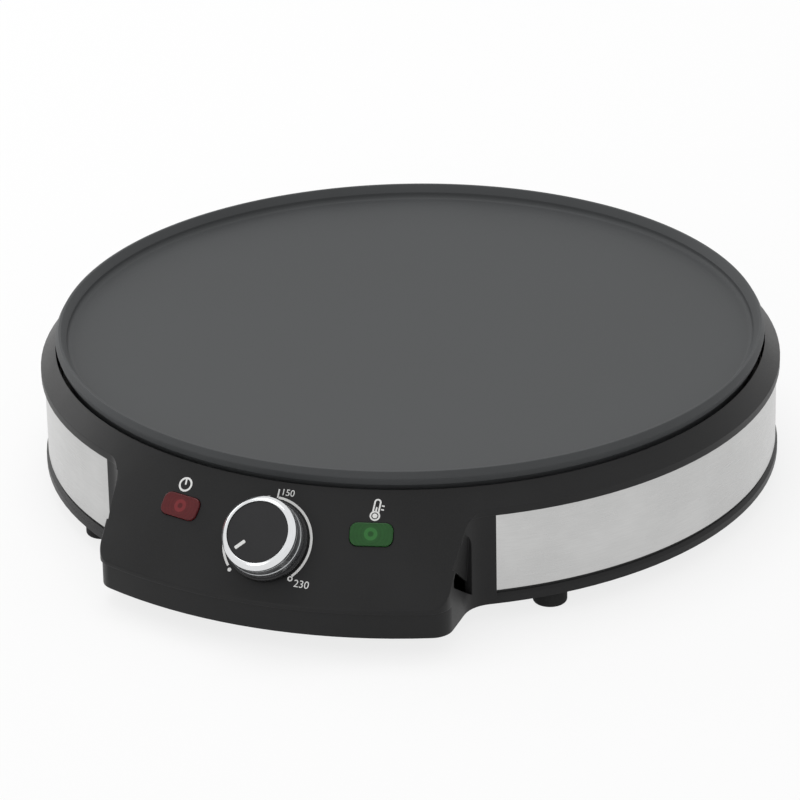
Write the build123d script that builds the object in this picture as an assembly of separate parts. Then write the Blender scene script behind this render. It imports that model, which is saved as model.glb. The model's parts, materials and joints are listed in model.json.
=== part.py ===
from build123d import *
from math import atan2, cos, degrees, hypot, radians, sin, sqrt, tan
import os

# Electric crepe maker, in millimetres.
# While the pieces are made, Z is the hot plate's axis, the front is -Y and z = 0 is the worktop.
# At the end everything moves along +Y, so that the origin is the middle of the foot print.

# ---------------------------------------------------------------- driving dimensions: overall
overall_height = 72.0
plate_radius = 165.0
case_bottom = 9.0
case_wall = 2.5
past = 1.0
close_enough = 0.01

# ---------------------------------------------------------------- driving dimensions: hot plate
rim_height = 6.2
rim_crest_width = 2.7
rim_lip_drop = 3.3
rim_lip_run = 2.6
rim_land_height = 2.2
rim_corner_round = 2.15
rim_crest_round = 0.6
rim_wall_draft = 19.2
dish_wall_lean = 0.5
dish_corner_round = 2.4
plate_thickness = 4.5
skirt_depth = 15.0
skirt_wall = 3.0

# ---------------------------------------------------------------- driving dimensions: casing
case_top_drop = 7.8
cone_run = 7.2
cone_fall = 8.2
lip_height = 3.5
lip_overhang = 0.6
collar_depth = 14.2
collar_wall = 2.5
bottom_ring_height = 4.6
bottom_ring_chamfer = 1.5

# ---------------------------------------------------------------- driving dimensions: front console
console_reach = 36.0
console_half_width = 82.0
console_corner_round = 10.0
console_root_round = 15.0
console_brow_height = 1.8
console_brow_inset = 1.8
console_edge_round = 1.2

# ---------------------------------------------------------------- driving dimensions: flank slots
scoop_depth = 1.2
scoop_top = 46.0
scoop_corner_run = 7.0
scoop_corner_round = 9.0
scoop_front_run = 20.0
scoop_front_rise = 14.0
slot_root_gap = 2.3
slot_run = 19.5
slot_front_low = 28.7
slot_front_high = 38.0
slot_rear_low = 16.0
slot_rear_high = 22.2
slot_edge_wall = 1.5

# ---------------------------------------------------------------- driving dimensions: trim bands
band_thickness = 0.8
band_step = 1.0
band_front_angle = 32.55
band_rear_angle = 157.5
band_end_gap = 0.4
band_groove = 1.4
band_backing_gap = 0.1
band_top_gap = 0.2

# ---------------------------------------------------------------- driving dimensions: base and feet
base_thickness = 2.5
base_recess = 0.6
base_fit_gap = 0.3
foot_radius = 7.7
foot_inset = 9.1
foot_angle = 42.3
foot_edge_round = 1.5
vent_length = 28.0
vent_width = 3.2
vent_circle = 104.0
vent_count = 24
vent_rear_gap = 40.0
label_length = 60.0
label_width = 34.0
label_thickness = 0.5

# ---------------------------------------------------------------- driving dimensions: fasteners
screw_radius = 1.98
screw_hole_gap = 0.27
thread_gap = 0.02
screw_head_radius = 3.6
screw_head_height = 2.2
head_round_share = 0.45
drive_span_share = 0.9
drive_width_share = 0.28
drive_depth_share = 0.5
tip_chamfer_share = 0.3
screw_tip_room = 0.6
screw_bite = 0.6
head_gap = 0.4
boss_radius = 4.5
base_screw_length = 14.0
base_screw_angles = (72.0, 112.0, 157.0)
base_column_height = 20.0
base_pad_height = 3.0
base_pad_radius = 5.5
head_seat_depth = 2.0
column_inset = 5.8
column_web = 3.0
column_web_start = 1.5
nose_column_x = 58.0
nose_column_inset = 22.0
foot_boss_height = 6.0
foot_head_seat = 4.0
base_rim_width = 2.0
foot_screw_length = 13.0

# ---------------------------------------------------------------- driving dimensions: heating
element_inset = 60.0
element_tube_radius = 4.0
element_end_drop = 4.0
element_gap_angle = 18.0
element_bend = 8.0
element_seat_gap = 0.05
element_cover = 1.3
rib_half_width = 7.0
pin_radius = 1.5
pin_fit_gap = 0.05
insulator_radius = 4.6
insulator_height = 4.0
bead_hole_gap = 3.0
pin_length = 10.0
shield_thickness = 0.8
shield_drop = 3.0
shield_gap = 1.4
shield_rim_height = 6.0
spacer_radius = 4.5
spacer_inset = 18.0
spacer_angle = 45.0
plate_boss_wall = 1.5
plate_hole_cover = 2.0
plate_screw_cover = 2.8
lug_thickness = 5.0
lug_half_width = 8.0
lug_web_gap = 3.0
lug_web_height = 16.0

# ---------------------------------------------------------------- driving dimensions: control knob
knob_slant = 27.4
knob_skirt_radius = 18.4
knob_skirt_height = 2.2
knob_ring_base_radius = 17.4
knob_ring_top_radius = 16.9
knob_height = 15.6
knob_bevel = 3.2
knob_bevel_inset = 2.3
knob_ring_wall = 3.0
knob_panel_gap = 0.9
knob_skirt_round = 0.7
knob_skirt_wall = 2.3
knob_skirt_sink = 1.2
knob_core_wall = 1.6
knob_top_wall = 2.0
cap_thickness = 2.0
cap_edge_round = 0.3
cap_recess = 0.6
cap_fit_gap = 0.1
pointer_start = 6.6
pointer_end = 12.0
pointer_width = 1.5
pointer_corner = 0.45
pointer_height = 0.2
pointer_angle = 225.0
spindle_radius = 3.0
spindle_flat = 1.0
spindle_fit_gap = 0.05
spindle_bore_cover = 2.2
spindle_end_gap = 0.4
spindle_flat_lead = 0.5
spindle_nose_gap = 0.4
flange_proud = 1.2
flange_thickness = 1.2
flange_gap = 0.2
hub_radius = 5.2

# ---------------------------------------------------------------- driving dimensions: thermostat
thermostat_width = 36.0
thermostat_height = 26.0
thermostat_sheet = 1.2
thermostat_frame_depth = 12.4
switch_depth = 8.0
switch_wall = 3.0
switch_floor = 2.0
pad_depth = 3.6
pad_margin = 1.5
thermostat_screw_spacing = 23.0
thermostat_screw_radius = 1.45
thermostat_head_radius = 2.6
thermostat_head_height = 1.6
thermostat_head_sink = 0.7
thermostat_screw_tip = 0.5
collar_radius = 4.6
collar_top_depth = 1.2
nose_radius = 2.0
nose_tip_room = 0.6
nut_size = 10.0
nut_height = 4.0
nut_travel = 0.75
nut_side_gap = 0.3
nut_front_gap = 3.4
rail_width = 6.0
rail_back_gap = 1.0
arm_length = 22.0
arm_width = 5.0
arm_thickness = 0.8
arm_depth = 3.6
arm_barrel_radius = 0.6
post_size = 3.0
contact_inset = 2.0
fixed_contact_radius = 1.6
moving_contact_radius = 1.4
contact_tip = 0.5
contact_gap_rest = 0.3
arm_swing_gap = 1.9
blade_width = 6.3
blade_thickness = 0.8
blade_length = 7.0
blade_offset = 9.0

# ---------------------------------------------------------------- driving dimensions: sensor and fuse
bulb_radius = 2.5
bulb_length = 70.0
bulb_offset = 23.0
fuse_radius = 2.5
fuse_length = 26.0
fuse_offset = 43.0
rod_chamfer_share = 0.25
clip_width = 8.0
clip_thickness = 1.0
bar_corner = 2.0
clip_half_span = 9.0
clip_boss_radius = 3.8
clip_screw_radius = 1.48
clip_screw_grip = 6.0
clip_hole_depth = 6.4
capillary_radius = 0.8
capillary_bend = 6.0
capillary_lead = 13.0
capillary_entry_side = 9.5
capillary_entry_depth = 9.4
capillary_hole_radius = 4.0
tube_top_gap = 0.1

# ---------------------------------------------------------------- driving dimensions: indicator lamps
lens_width = 19.0
lens_height = 10.5
lens_round = 3.6
lens_proud = 0.9
lens_edge_round = 0.6
lens_fit_gap = 0.15
lens_flange = 1.5
lens_flange_thickness = 1.5
lens_slant = 20.4
red_lens_angle = -14.6
green_lens_angle = 14.4
lens_pad_margin = 3.5
lens_pad_edge = 1.0
lens_pad_depth = 3.4
pad_bite = 1.3
hook_gap = 0.1
hook_thickness = 1.8
hook_width = 5.0
hook_bite = 1.4
lamp_radius = 3.0
lamp_length = 12.0
lamp_fit_gap = 0.1
lamp_tip_gap = 0.4
lamp_tip_round = 1.0
lens_front_wall = 1.6
holder_depth = 7.5
holder_corner = 1.5

# ---------------------------------------------------------------- driving dimensions: mains entry
gland_bore_radius = 3.6
gland_sleeve_radius = 6.0
gland_flange_radius = 9.5
gland_flange_height = 2.5
gland_flange_round = 0.9
gland_length = 17.0
gland_axis_height = 28.0
gland_fit_gap = 0.1
outlet_half_width = 16.0
outlet_proud = 1.4
outlet_chamfer = 1.0
outlet_half_height = 13.0
clamp_setback = 35.0
clamp_length = 30.0
clamp_width = 9.0
clamp_thickness = 3.0
clamp_post_offset = 10.0
clamp_post_radius = 3.4
clamp_screw_grip = 8.0
saddle_width = 5.4
block_setback = 61.0
block_length = 38.0
block_width = 18.0
block_height = 14.0
pole_pitch = 11.0
pole_bore_radius = 2.0
block_screw_radius = 1.45
block_screw_offset = 5.5
block_fixing_offset = 16.5
fixing_head_radius = 2.34
block_plinth = 3.0
plinth_margin = 1.0
pole_height = 6.0
label_gap = 0.15

# ---------------------------------------------------------------- driving dimensions: inner wires
wire_radius = 1.2
wire_bend = 9.0
wire_floor_gap = 2.3
lead_hole_gap = 1.8
lane_x = 42.0
lane_front_gap = 9.0
lane_front_drop = 3.0
lane_rear_drop = 2.0
live_start = 22.0
live_lane_start = 59.0
live_turn_x = 20.0
live_turn_run = 15.0
switched_rise = 2.0
switched_turn = 22.0
neutral_start = 26.0
neutral_lane_start = 65.0
fuse_lead_drop = 7.0
earth_start = 12.0
earth_tag_x = 45.0
earth_tag_y = 60.0
earth_tag_length = 18.0
earth_tag_width = 7.0
earth_tag_corner = 1.5
earth_tag_end = 4.0
earth_screw_grip = 3.0
lamp_lead_drop = 7.0
lamp_lead_turn = 15.0
lamp_lead_share = 0.45
lamp_lead_bend = 4.0
live_bends = (9.0, 12.0, 20.0, 6.0, 3.6)
switched_bends = (3.6, 9.0, 7.0)
neutral_bends = (12.0, 14.0, 9.0, 5.5)
fuse_lead_bends = (5.0, 8.0, 5.0)
earth_bends = (7.0, 9.0)

# ---------------------------------------------------------------- worked out: heights and radii
cook_z = overall_height - rim_height
plate_under_z = cook_z - plate_thickness
skirt_z = overall_height - skirt_depth
case_top_z = overall_height - case_top_drop
cone_slope = cone_fall / cone_run
panel_tilt = degrees(atan2(cone_run, cone_fall))
console_radius = plate_radius + console_reach
lip_radius = plate_radius + cone_run
lip_top_z = case_top_z - cone_fall
lip_low_z = lip_top_z - lip_height
side_radius = lip_radius - lip_overhang
band_radius = side_radius - band_step
recess_radius = band_radius - band_thickness - band_backing_gap
recess_low_z = case_bottom + bottom_ring_height
band_low_z = recess_low_z + band_groove
band_high_z = lip_low_z - band_top_gap
cavity_radius = recess_radius - case_wall
collar_low_z = case_top_z - collar_depth
pocket_radius = side_radius - case_wall
crease_z = case_top_z - (console_radius - plate_radius) * cone_slope
brow_low_z = crease_z - console_brow_height
lower_radius = console_radius - console_brow_inset
console_inner_radius = lower_radius - case_wall
console_inner_half_width = console_half_width - case_wall
console_inner_corner = console_corner_round - case_wall
console_inner_root = console_root_round + case_wall
slot_rear_y = sqrt(side_radius**2 - console_half_width**2) + slot_root_gap
slot_front_y = slot_rear_y + slot_run
nose_column_y = console_radius - nose_column_inset
foot_circle = pocket_radius - foot_inset
spacer_circle = plate_radius - spacer_inset
element_circle = plate_radius - element_inset
bulb_row = element_circle + bulb_offset
fuse_row = element_circle - fuse_offset
base_bottom_z = case_bottom + base_recess
base_top_z = base_bottom_z + base_thickness
column_low_z = base_top_z + base_pad_height
shield_radius = plate_radius - shield_gap
shield_low_z = collar_low_z - shield_drop
shield_top_z = shield_low_z + shield_thickness
lug_low_z = shield_low_z - lug_thickness
element_z = plate_under_z - element_cover - element_tube_radius
block_low_z = base_top_z + block_plinth
pole_z = block_low_z + pole_height
clamp_low_z = gland_axis_height + gland_bore_radius
knob_body_top = knob_height - cap_thickness - cap_recess
nut_top = -pad_depth - thermostat_sheet - nut_front_gap
arm_low = -pad_depth - thermostat_frame_depth - arm_depth
arm_axis = arm_low + arm_thickness / 2
rear_face = side_radius + outlet_proud
outlet_inner_y = rear_face - gland_length
clamp_row = rear_face - clamp_setback
block_row = rear_face - block_setback
rear_reach = rear_face + gland_flange_height
knob_reach = (
    plate_radius + knob_slant * sin(radians(panel_tilt)) + knob_height * cos(radians(panel_tilt))
    + (knob_ring_top_radius - knob_bevel_inset) * sin(radians(panel_tilt))
)
front_reach = max(console_radius, knob_reach)
shift_to_middle = (front_reach - rear_reach) / 2


# ---------------------------------------------------------------- small helpers
STANDING = (Align.CENTER, Align.CENTER, Align.MIN)
HANGING = (Align.CENTER, Align.CENTER, Align.MAX)


def polar(radius, angle, height=0.0):
    """Point at an angle from the front, counted towards +X."""
    return Vector(radius * sin(radians(angle)), -radius * cos(radians(angle)), height)


def panel_frame(angle, slant, lift=0.0):
    """Frame on the cone: Z out of the panel, Y up the slope, at a slant length below the cone's start."""
    tilt = radians(panel_tilt)
    radius = plate_radius + slant * sin(tilt)
    height = case_top_z - slant * cos(tilt)
    normal = polar(cos(tilt), angle, sin(tilt))
    across = Vector(cos(radians(angle)), sin(radians(angle)), 0)
    return Plane(origin=polar(radius, angle, height) + normal * lift, x_dir=across, z_dir=normal)


def on_frame(frame, x, y, z):
    """Point given in a frame's own coordinates."""
    return frame.from_local_coords(Vector(x, y, z))


def profile(*points):
    """Face in the XZ plane from radius and height pairs."""
    return Plane.XZ * make_face(Polyline(*points, close=True))


def turned(*points):
    """Solid of revolution about the plate's axis from radius and height pairs."""
    return revolve(profile(*points), Axis.Z)


def upright(point, radius, low, high):
    """Vertical cylinder from one height to another."""
    return Pos(point.X, point.Y) * disc(radius, low, high)


def block(size_x, size_y, low, high):
    """Box centred on its frame in X and Y, between two heights."""
    return Pos(0, 0, low) * Box(size_x, size_y, high - low, align=STANDING)


def disc(radius, low, high):
    """Cylinder on its frame's Z axis, between two heights."""
    return Pos(0, 0, low) * Cylinder(radius, high - low, align=STANDING)


def ring_sector(inner, outer, low, high, from_angle, to_angle):
    """Part of a ring, between two angles from the front."""
    section = profile((inner, low), (outer, low), (outer, high), (inner, high))
    return Rot(Z=from_angle - 90) * revolve(section, Axis.Z, to_angle - from_angle)


def grouped(shapes):
    """Separate solids kept together as one piece."""
    return Compound([solid for shape in shapes for solid in shape.solids()])


def pan_screw(radius, length, head_radius, head_height):
    """Screw with its head below z = 0 and its shank up to z = length."""
    head = disc(head_radius, -head_height, 0)
    head = fillet(head.edges().sort_by(Axis.Z)[0], head_height * head_round_share)
    span, width = head_radius * drive_span_share, head_radius * drive_width_share
    drive = block(span, width, -head_height, -head_height * drive_depth_share)
    drive += block(width, span, -head_height, -head_height * drive_depth_share)
    shank = disc(radius, 0, length)
    shank = chamfer(shank.edges().sort_by(Axis.Z)[-1], radius * tip_chamfer_share)
    return head + shank - drive


def tube_along(points, radius, bend):
    """Round rod along straight runs joined by arcs."""
    path = FilletPolyline(*points, radius=bend)
    start = Plane(origin=path @ 0, z_dir=path % 0)
    return sweep(start * Circle(radius), path=path)


# ---------------------------------------------------------------- hot plate and heater
spacer_angles = [side * a for a in (spacer_angle, 180 - spacer_angle) for side in (1, -1)]
spacer_spots = [polar(spacer_circle, a) for a in spacer_angles]
clip_rows = (bulb_row, fuse_row)
clip_boss_z = plate_under_z - tube_top_gap - 2 * bulb_radius


def make_hot_plate():
    """Cast plate with a raised rim, a hidden skirt, the heater's rib and its screw bosses."""
    lip_z = overall_height - rim_lip_drop
    crest_r = plate_radius - rim_crest_width
    lip_r = crest_r - rim_lip_run
    wall_top_z = overall_height - rim_land_height
    skirt_r = plate_radius - (wall_top_z - skirt_z) * tan(radians(rim_wall_draft))
    points = [
        (0, cook_z), (lip_r - dish_wall_lean, cook_z), (lip_r, lip_z), (crest_r, overall_height),
        (plate_radius, overall_height), (plate_radius, wall_top_z), (skirt_r, skirt_z),
        (skirt_r - skirt_wall, skirt_z), (skirt_r - skirt_wall, plate_under_z), (0, plate_under_z),
    ]
    section = profile(*points)
    dish_corner = section.vertices().sort_by_distance((lip_r - dish_wall_lean, 0, cook_z))[0]
    section = fillet(dish_corner, dish_corner_round)
    rim_corner = section.vertices().sort_by_distance((plate_radius, 0, overall_height))[0]
    section = fillet(rim_corner, rim_corner_round)
    crest_corner = section.vertices().sort_by_distance((crest_r, 0, overall_height))[0]
    section = fillet(crest_corner, rim_crest_round)
    plate = revolve(section, Axis.Z)
    inner, outer = element_circle - rib_half_width, element_circle + rib_half_width
    plate += turned(
        (inner, element_z), (outer, element_z), (outer, plate_under_z + past), (inner, plate_under_z + past)
    )
    groove = Plane.XZ * Pos(element_circle, element_z) * Circle(element_tube_radius + element_seat_gap)
    plate -= revolve(groove, Axis.Z)
    for spot in spacer_spots:
        plate += upright(spot, spacer_radius + plate_boss_wall, skirt_z, plate_under_z + past)
        plate -= upright(spot, screw_radius + thread_gap, skirt_z - past, cook_z - plate_hole_cover)
    for row in clip_rows:
        for spot in clip_spots(row):
            hole_radius = clip_screw_radius + thread_gap
            plate += upright(spot, clip_boss_radius, clip_boss_z, plate_under_z + past)
            plate -= upright(spot, hole_radius, clip_boss_z - past, clip_boss_z + clip_hole_depth)
    return plate


def element_path():
    """Centre line of the tubular heater: a ring open at the front with both ends turned down."""
    low_z = shield_low_z - element_end_drop
    parts = []
    ends = []
    for side in (1, -1):
        start = polar(element_circle, side * element_gap_angle, element_z)
        inward = Vector(-side * cos(radians(element_gap_angle)), -sin(radians(element_gap_angle)), 0)
        middle = start + inward * (element_bend * sqrt(0.5))
        middle = middle + Vector(0, 0, -element_bend * (1 - sqrt(0.5)))
        bottom = start + inward * element_bend + Vector(0, 0, -element_bend)
        end = Vector(bottom.X, bottom.Y, low_z)
        parts.append([Edge.make_line(end, bottom), Edge.make_three_point_arc(bottom, middle, start)])
        ends.append(end)
    right = polar(element_circle, element_gap_angle, element_z)
    left = polar(element_circle, -element_gap_angle, element_z)
    ring = Edge.make_three_point_arc(right, polar(element_circle, 180, element_z), left)
    path = Wire(parts[0] + [ring] + parts[1])
    return path, ends


def make_heater():
    """Sheathed heating tube, its two ceramic beads and its two terminal pins."""
    path, ends = element_path()
    section = Plane(origin=path @ 0, z_dir=path % 0) * Circle(element_tube_radius)
    tube = sweep(section, path=path)
    beads, pins = [], []
    for end in ends:
        bead_low = end.Z - insulator_height
        bead = upright(end, insulator_radius, bead_low, end.Z)
        beads.append(bead - upright(end, pin_radius + pin_fit_gap, bead_low - past, end.Z + past))
        pins.append(upright(end, pin_radius, end.Z - pin_length, end.Z))
    return tube, grouped(beads), grouped(pins), ends


def make_heat_shield(pin_spots):
    """Reflector pan that sits on the casing's lugs under the plate."""
    r, t = shield_radius, shield_thickness
    rim_z = shield_low_z + shield_rim_height
    pan = turned(
        (0, shield_low_z), (r, shield_low_z), (r, rim_z),
        (r - t, rim_z), (r - t, shield_top_z), (0, shield_top_z),
    )
    holes = [(spot, screw_radius + screw_hole_gap) for spot in spacer_spots]
    for spot in pin_spots:
        holes.append((spot, insulator_radius + bead_hole_gap))
        holes.append((Vector(spot.X, -fuse_row, 0), wire_radius + lead_hole_gap))
    holes.append((capillary_points()[1], capillary_hole_radius))
    holes.append((earth_spot(), clip_screw_radius + thread_gap))
    for spot, radius in holes:
        pan -= upright(spot, radius, shield_low_z - past, shield_top_z + past)
    return pan


def make_plate_fixings():
    """Spacer tubes between shield and plate, and the long screws from below the lugs."""
    spacers, screws = [], []
    length = cook_z - plate_screw_cover - lug_low_z
    for spot in spacer_spots:
        tube = upright(spot, spacer_radius, shield_top_z, skirt_z)
        hole = upright(spot, screw_radius + screw_hole_gap, shield_top_z - past, skirt_z + past)
        spacers.append(tube - hole)
        screw = pan_screw(screw_radius, length, screw_head_radius, screw_head_height)
        screws.append(Pos(spot.X, spot.Y, lug_low_z) * screw)
    return grouped(spacers), grouped(screws)


# ---------------------------------------------------------------- casing
def console_outline(front, half_width, around, corner, root):
    """Plan of the casing: a circle with the console standing out of its front."""
    nose = Circle(front) & (Pos(0, -front / 2) * Rectangle(2 * half_width, front + 2 * past))
    nose = fillet(nose.vertices().group_by(Axis.Y)[0], corner)
    plan = Circle(around) + nose
    roots = [
        v for v in plan.vertices()
        if abs(abs(v.X) - half_width) < close_enough and abs(hypot(v.X, v.Y) - around) < close_enough
    ]
    return fillet(roots, root)


def prism(plan, low, high):
    """Plan face raised between two heights."""
    return Pos(0, 0, low) * extrude(plan, high - low)


def cone_body(drop, low):
    """Solid under the casing's cone, lowered by a drop."""
    top_z = case_top_z - drop
    foot_r = plate_radius + (top_z - low) / cone_slope
    return turned((0, low), (foot_r, low), (plate_radius, top_z), (0, top_z))


def scoop_tool(side):
    """Shallow scoop in a console flank, deepest at the slot's upper edge."""
    rear, front = -slot_rear_y, -slot_front_y - scoop_front_run
    slot_rise = (slot_front_high - slot_rear_high) / slot_run
    outline = [
        (rear, slot_rear_low), (rear, scoop_top), (front, scoop_top + scoop_front_rise),
        (front, slot_front_high + scoop_front_run * slot_rise), (-slot_front_y, slot_front_high),
    ]
    face = make_face(Polyline(*outline, close=True))
    corner = face.vertices().sort_by_distance((rear, scoop_top, 0))[0]
    face = fillet(corner, scoop_corner_round)
    wedge = Plane.YZ * Pos(0, 0, console_half_width - scoop_front_run) * extrude(face, 2 * scoop_front_run)
    top = Vector(console_half_width, rear - scoop_corner_run, scoop_top)
    deep_front = Vector(console_half_width - scoop_depth, -slot_front_y, slot_front_high)
    deep_rear = Vector(console_half_width - scoop_depth, rear, slot_rear_high)
    normal = (deep_front - top).cross(deep_rear - top)
    if normal.X > 0:
        normal = -normal
    ramp = Plane(origin=top, x_dir=deep_rear - deep_front, z_dir=normal)
    wedge -= ramp * block(2 * console_radius, 2 * console_radius, 0, console_half_width)
    return wedge if side > 0 else mirror(wedge, Plane.YZ)


def slot_tool(side):
    """Slanted slot through the console flank under the scoop."""
    outline = [
        (-slot_front_y, slot_front_high), (-slot_rear_y, slot_rear_high),
        (-slot_rear_y, slot_rear_low), (-slot_front_y, slot_front_low),
    ]
    face = make_face(Polyline(*outline, close=True))
    start = console_half_width - 2 * case_wall
    tool = Plane.YZ * Pos(0, 0, start) * extrude(face, 4 * case_wall)
    tool = tool & cone_body(slot_edge_wall / sin(radians(panel_tilt)), case_bottom)
    return tool if side > 0 else mirror(tool, Plane.YZ)


def base_screw_spots():
    """Screw columns that hold the base cover: six round the wall and two under the console."""
    angles = [side * angle for angle in base_screw_angles for side in (1, -1)]
    wall_spots = [polar(cavity_radius - column_inset, angle) for angle in angles]
    nose_spots = [Vector(side * nose_column_x, -nose_column_y, 0) for side in (1, -1)]
    return wall_spots, nose_spots


def lens_frame(angle):
    """Frame on the panel at one lens."""
    return panel_frame(angle, lens_slant)


def rounded_plate(width, height, corner, low, high):
    """Rounded rectangular block on its frame."""
    return Pos(0, 0, low) * extrude(RectangleRounded(width, height, corner), high - low)


def storey(front, around, low, high):
    """Slice of the casing's outside between two heights, before the cone trims it."""
    plan = console_outline(front, console_half_width, around, console_corner_round, console_root_round)
    return prism(plan, low, high)


def make_envelope():
    """Outside of the casing as one solid: foot ring, console, lip and cone."""
    cone = cone_body(0, case_bottom - past)
    wall = storey(console_radius, side_radius, case_bottom, lip_low_z) & cone
    brow = [
        edge for edge in wall.edges()
        if crease_z - past < edge.center().Z < lip_low_z - past and edge.geom_type != GeomType.LINE
        and hypot(edge.center().X, edge.center().Y) > side_radius + past
    ]
    wall = fillet(brow, console_edge_round)
    wall = wall & disc(2 * console_radius, brow_low_z, lip_low_z)
    wall += storey(lower_radius, side_radius, case_bottom, brow_low_z)
    return wall + (storey(console_radius, lip_radius, lip_low_z, case_top_z) & cone)


def make_hollows():
    """The casing's inside, as a list of solids to take away."""
    def plan(around):
        return console_outline(
            console_inner_radius, console_inner_half_width, around, console_inner_corner, console_inner_root
        )
    under_cone = cone_body(case_wall / sin(radians(panel_tilt)), case_bottom - 2 * past)
    behind_collar = prism(plan(cavity_radius), collar_low_z, case_top_z) & under_cone
    behind_collar -= disc(plate_radius + collar_wall, collar_low_z - past, case_top_z + past)
    below_collar = prism(plan(cavity_radius), recess_low_z, collar_low_z) & under_cone
    pocket = prism(plan(pocket_radius), case_bottom - past, recess_low_z)
    return [below_collar, behind_collar, pocket, disc(plate_radius, collar_low_z, case_top_z + past)]


def plate_lugs():
    """Four ledges with a web below, where the plate's spacers stand and its screws come up."""
    parts = []
    end = cavity_radius + past
    lug_start = spacer_circle - lug_half_width
    web_start = spacer_circle + screw_head_radius + lug_web_gap
    for angle in spacer_angles:
        lug = block(2 * lug_half_width, end - lug_start, lug_low_z, shield_low_z)
        web = block(column_web, end - web_start, lug_low_z - lug_web_height, lug_low_z)
        parts.append(Rot(Z=angle) * Pos(0, -(end + lug_start) / 2) * lug)
        parts.append(Rot(Z=angle) * Pos(0, -(end + web_start) / 2) * web)
    return parts


def screw_columns():
    """Columns for the base cover's screws, those by the wall with a web to it."""
    parts = []
    end = cavity_radius + past
    top = column_low_z + base_column_height
    wall_spots, nose_spots = base_screw_spots()
    for spot in wall_spots:
        start = hypot(spot.X, spot.Y) + screw_radius + column_web_start
        web = block(column_web, end - start, column_low_z, top)
        parts.append(upright(spot, boss_radius, column_low_z, top))
        parts.append(Rot(Z=degrees(atan2(spot.X, -spot.Y))) * Pos(0, -(end + start) / 2) * web)
    for spot in nose_spots:
        parts.append(upright(spot, boss_radius, column_low_z, lip_top_z))
    return parts


def lens_mounting(angle):
    """Pad behind one lens and the two hooks that hold its lamp holder."""
    width = lens_width + 2 * (lens_flange + lens_pad_margin)
    height = lens_height + 2 * (lens_flange + lens_pad_edge)
    back = -lens_pad_depth - lens_flange_thickness - holder_depth
    inner = lens_width / 2 + lens_flange + hook_gap
    parts = [lens_frame(angle) * block(width, height, -lens_pad_depth, -pad_bite)]
    for end in (1, -1):
        leg = block(hook_thickness, hook_width, back - hook_thickness, -pad_bite)
        nib = block(hook_bite + past, hook_width, back - hook_thickness, back)
        hook = Pos(end * (inner + hook_thickness / 2)) * leg
        hook += Pos(end * (inner + (past - hook_bite) / 2)) * nib
        parts.append(lens_frame(angle) * hook)
    return parts


def outlet_block(start, end):
    """Block round the cord gland, between two distances behind the plate's axis."""
    low, high = gland_axis_height - outlet_half_height, gland_axis_height + outlet_half_height
    return Pos(0, (start + end) / 2) * block(2 * outlet_half_width, end - start, low, high)


def casing_fixtures():
    """What stands inside the casing: plate lugs, screw columns, panel pads, hooks and the cord outlet."""
    width, height = thermostat_width + 2 * pad_margin, thermostat_height + 2 * pad_margin
    parts = plate_lugs() + screw_columns()
    parts.append(panel_frame(0, knob_slant) * block(width, height, -pad_depth, -pad_bite))
    for angle in (red_lens_angle, green_lens_angle):
        parts.extend(lens_mounting(angle))
    parts.append(outlet_block(outlet_inner_y, cavity_radius + past))
    return parts


def band_recess(side):
    """What is cut from the wall for one trim band: its recess and the bevel on the foot ring below."""
    angles = (side * band_front_angle, side * band_rear_angle)
    end_gap = degrees(band_end_gap / band_radius)
    first, last = min(angles) - end_gap, max(angles) + end_gap
    bevel = profile(
        (side_radius - bottom_ring_chamfer, recess_low_z), (side_radius + past, recess_low_z),
        (side_radius + past, recess_low_z - bottom_ring_chamfer - past),
    )
    recess = ring_sector(recess_radius, lip_radius + past, recess_low_z, lip_low_z, first, last)
    return [recess, Rot(Z=first - 90) * revolve(bevel, Axis.Z, last - first)]


def casing_holes():
    """Screw holes, the spindle's hole with its two screw seats, the lens windows and the gland's bore."""
    wall_spots, nose_spots = base_screw_spots()
    deep = column_low_z + base_screw_length - head_seat_depth + screw_tip_room
    holes = [
        upright(spot, screw_radius + screw_hole_gap, lug_low_z - past, shield_low_z + past)
        for spot in spacer_spots
    ]
    for spot in wall_spots + nose_spots:
        holes.append(upright(spot, screw_radius + thread_gap, column_low_z - past, deep))
    panel = panel_frame(0, knob_slant)
    holes.append(panel * disc(collar_radius + screw_hole_gap, -pad_depth - past, past))
    for side in (1, -1):
        seat = panel * Pos(side * thermostat_screw_spacing / 2)
        holes.append(seat * disc(thermostat_screw_radius + screw_hole_gap, -pad_depth - past, past))
        holes.append(seat * disc(thermostat_head_radius + head_gap, -thermostat_head_sink, past))
    width, height = lens_width + 2 * lens_fit_gap, lens_height + 2 * lens_fit_gap
    window = rounded_plate(width, height, lens_round, -lens_pad_depth - past, past)
    holes += [lens_frame(angle) * window for angle in (red_lens_angle, green_lens_angle)]
    mouth = Plane(origin=(0, rear_face + past, gland_axis_height), x_dir=(1, 0, 0), z_dir=(0, 1, 0))
    bore_radius = gland_sleeve_radius + gland_fit_gap
    holes.append(mouth * Cylinder(bore_radius, gland_length + 2 * past, align=HANGING))
    return holes


def make_upper_casing():
    """One moulded shell: sloped collar, round wall, front console and everything moulded inside it."""
    envelope = make_envelope()
    shell = envelope
    for side in (1, -1):
        shell = shell - scoop_tool(side)
    for hollow in make_hollows():
        shell = shell - hollow
    for fixture in casing_fixtures():
        shell = shell + (fixture & envelope)
    outlet = outlet_block(cavity_radius + past, rear_face)
    shell = shell + chamfer(outlet.faces().sort_by(Axis.Y)[-1].edges(), outlet_chamfer)
    for side in (1, -1):
        shell = shell - slot_tool(side)
        for cut in band_recess(side):
            shell = shell - cut
    for hole in casing_holes():
        shell = shell - hole
    return shell


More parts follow.
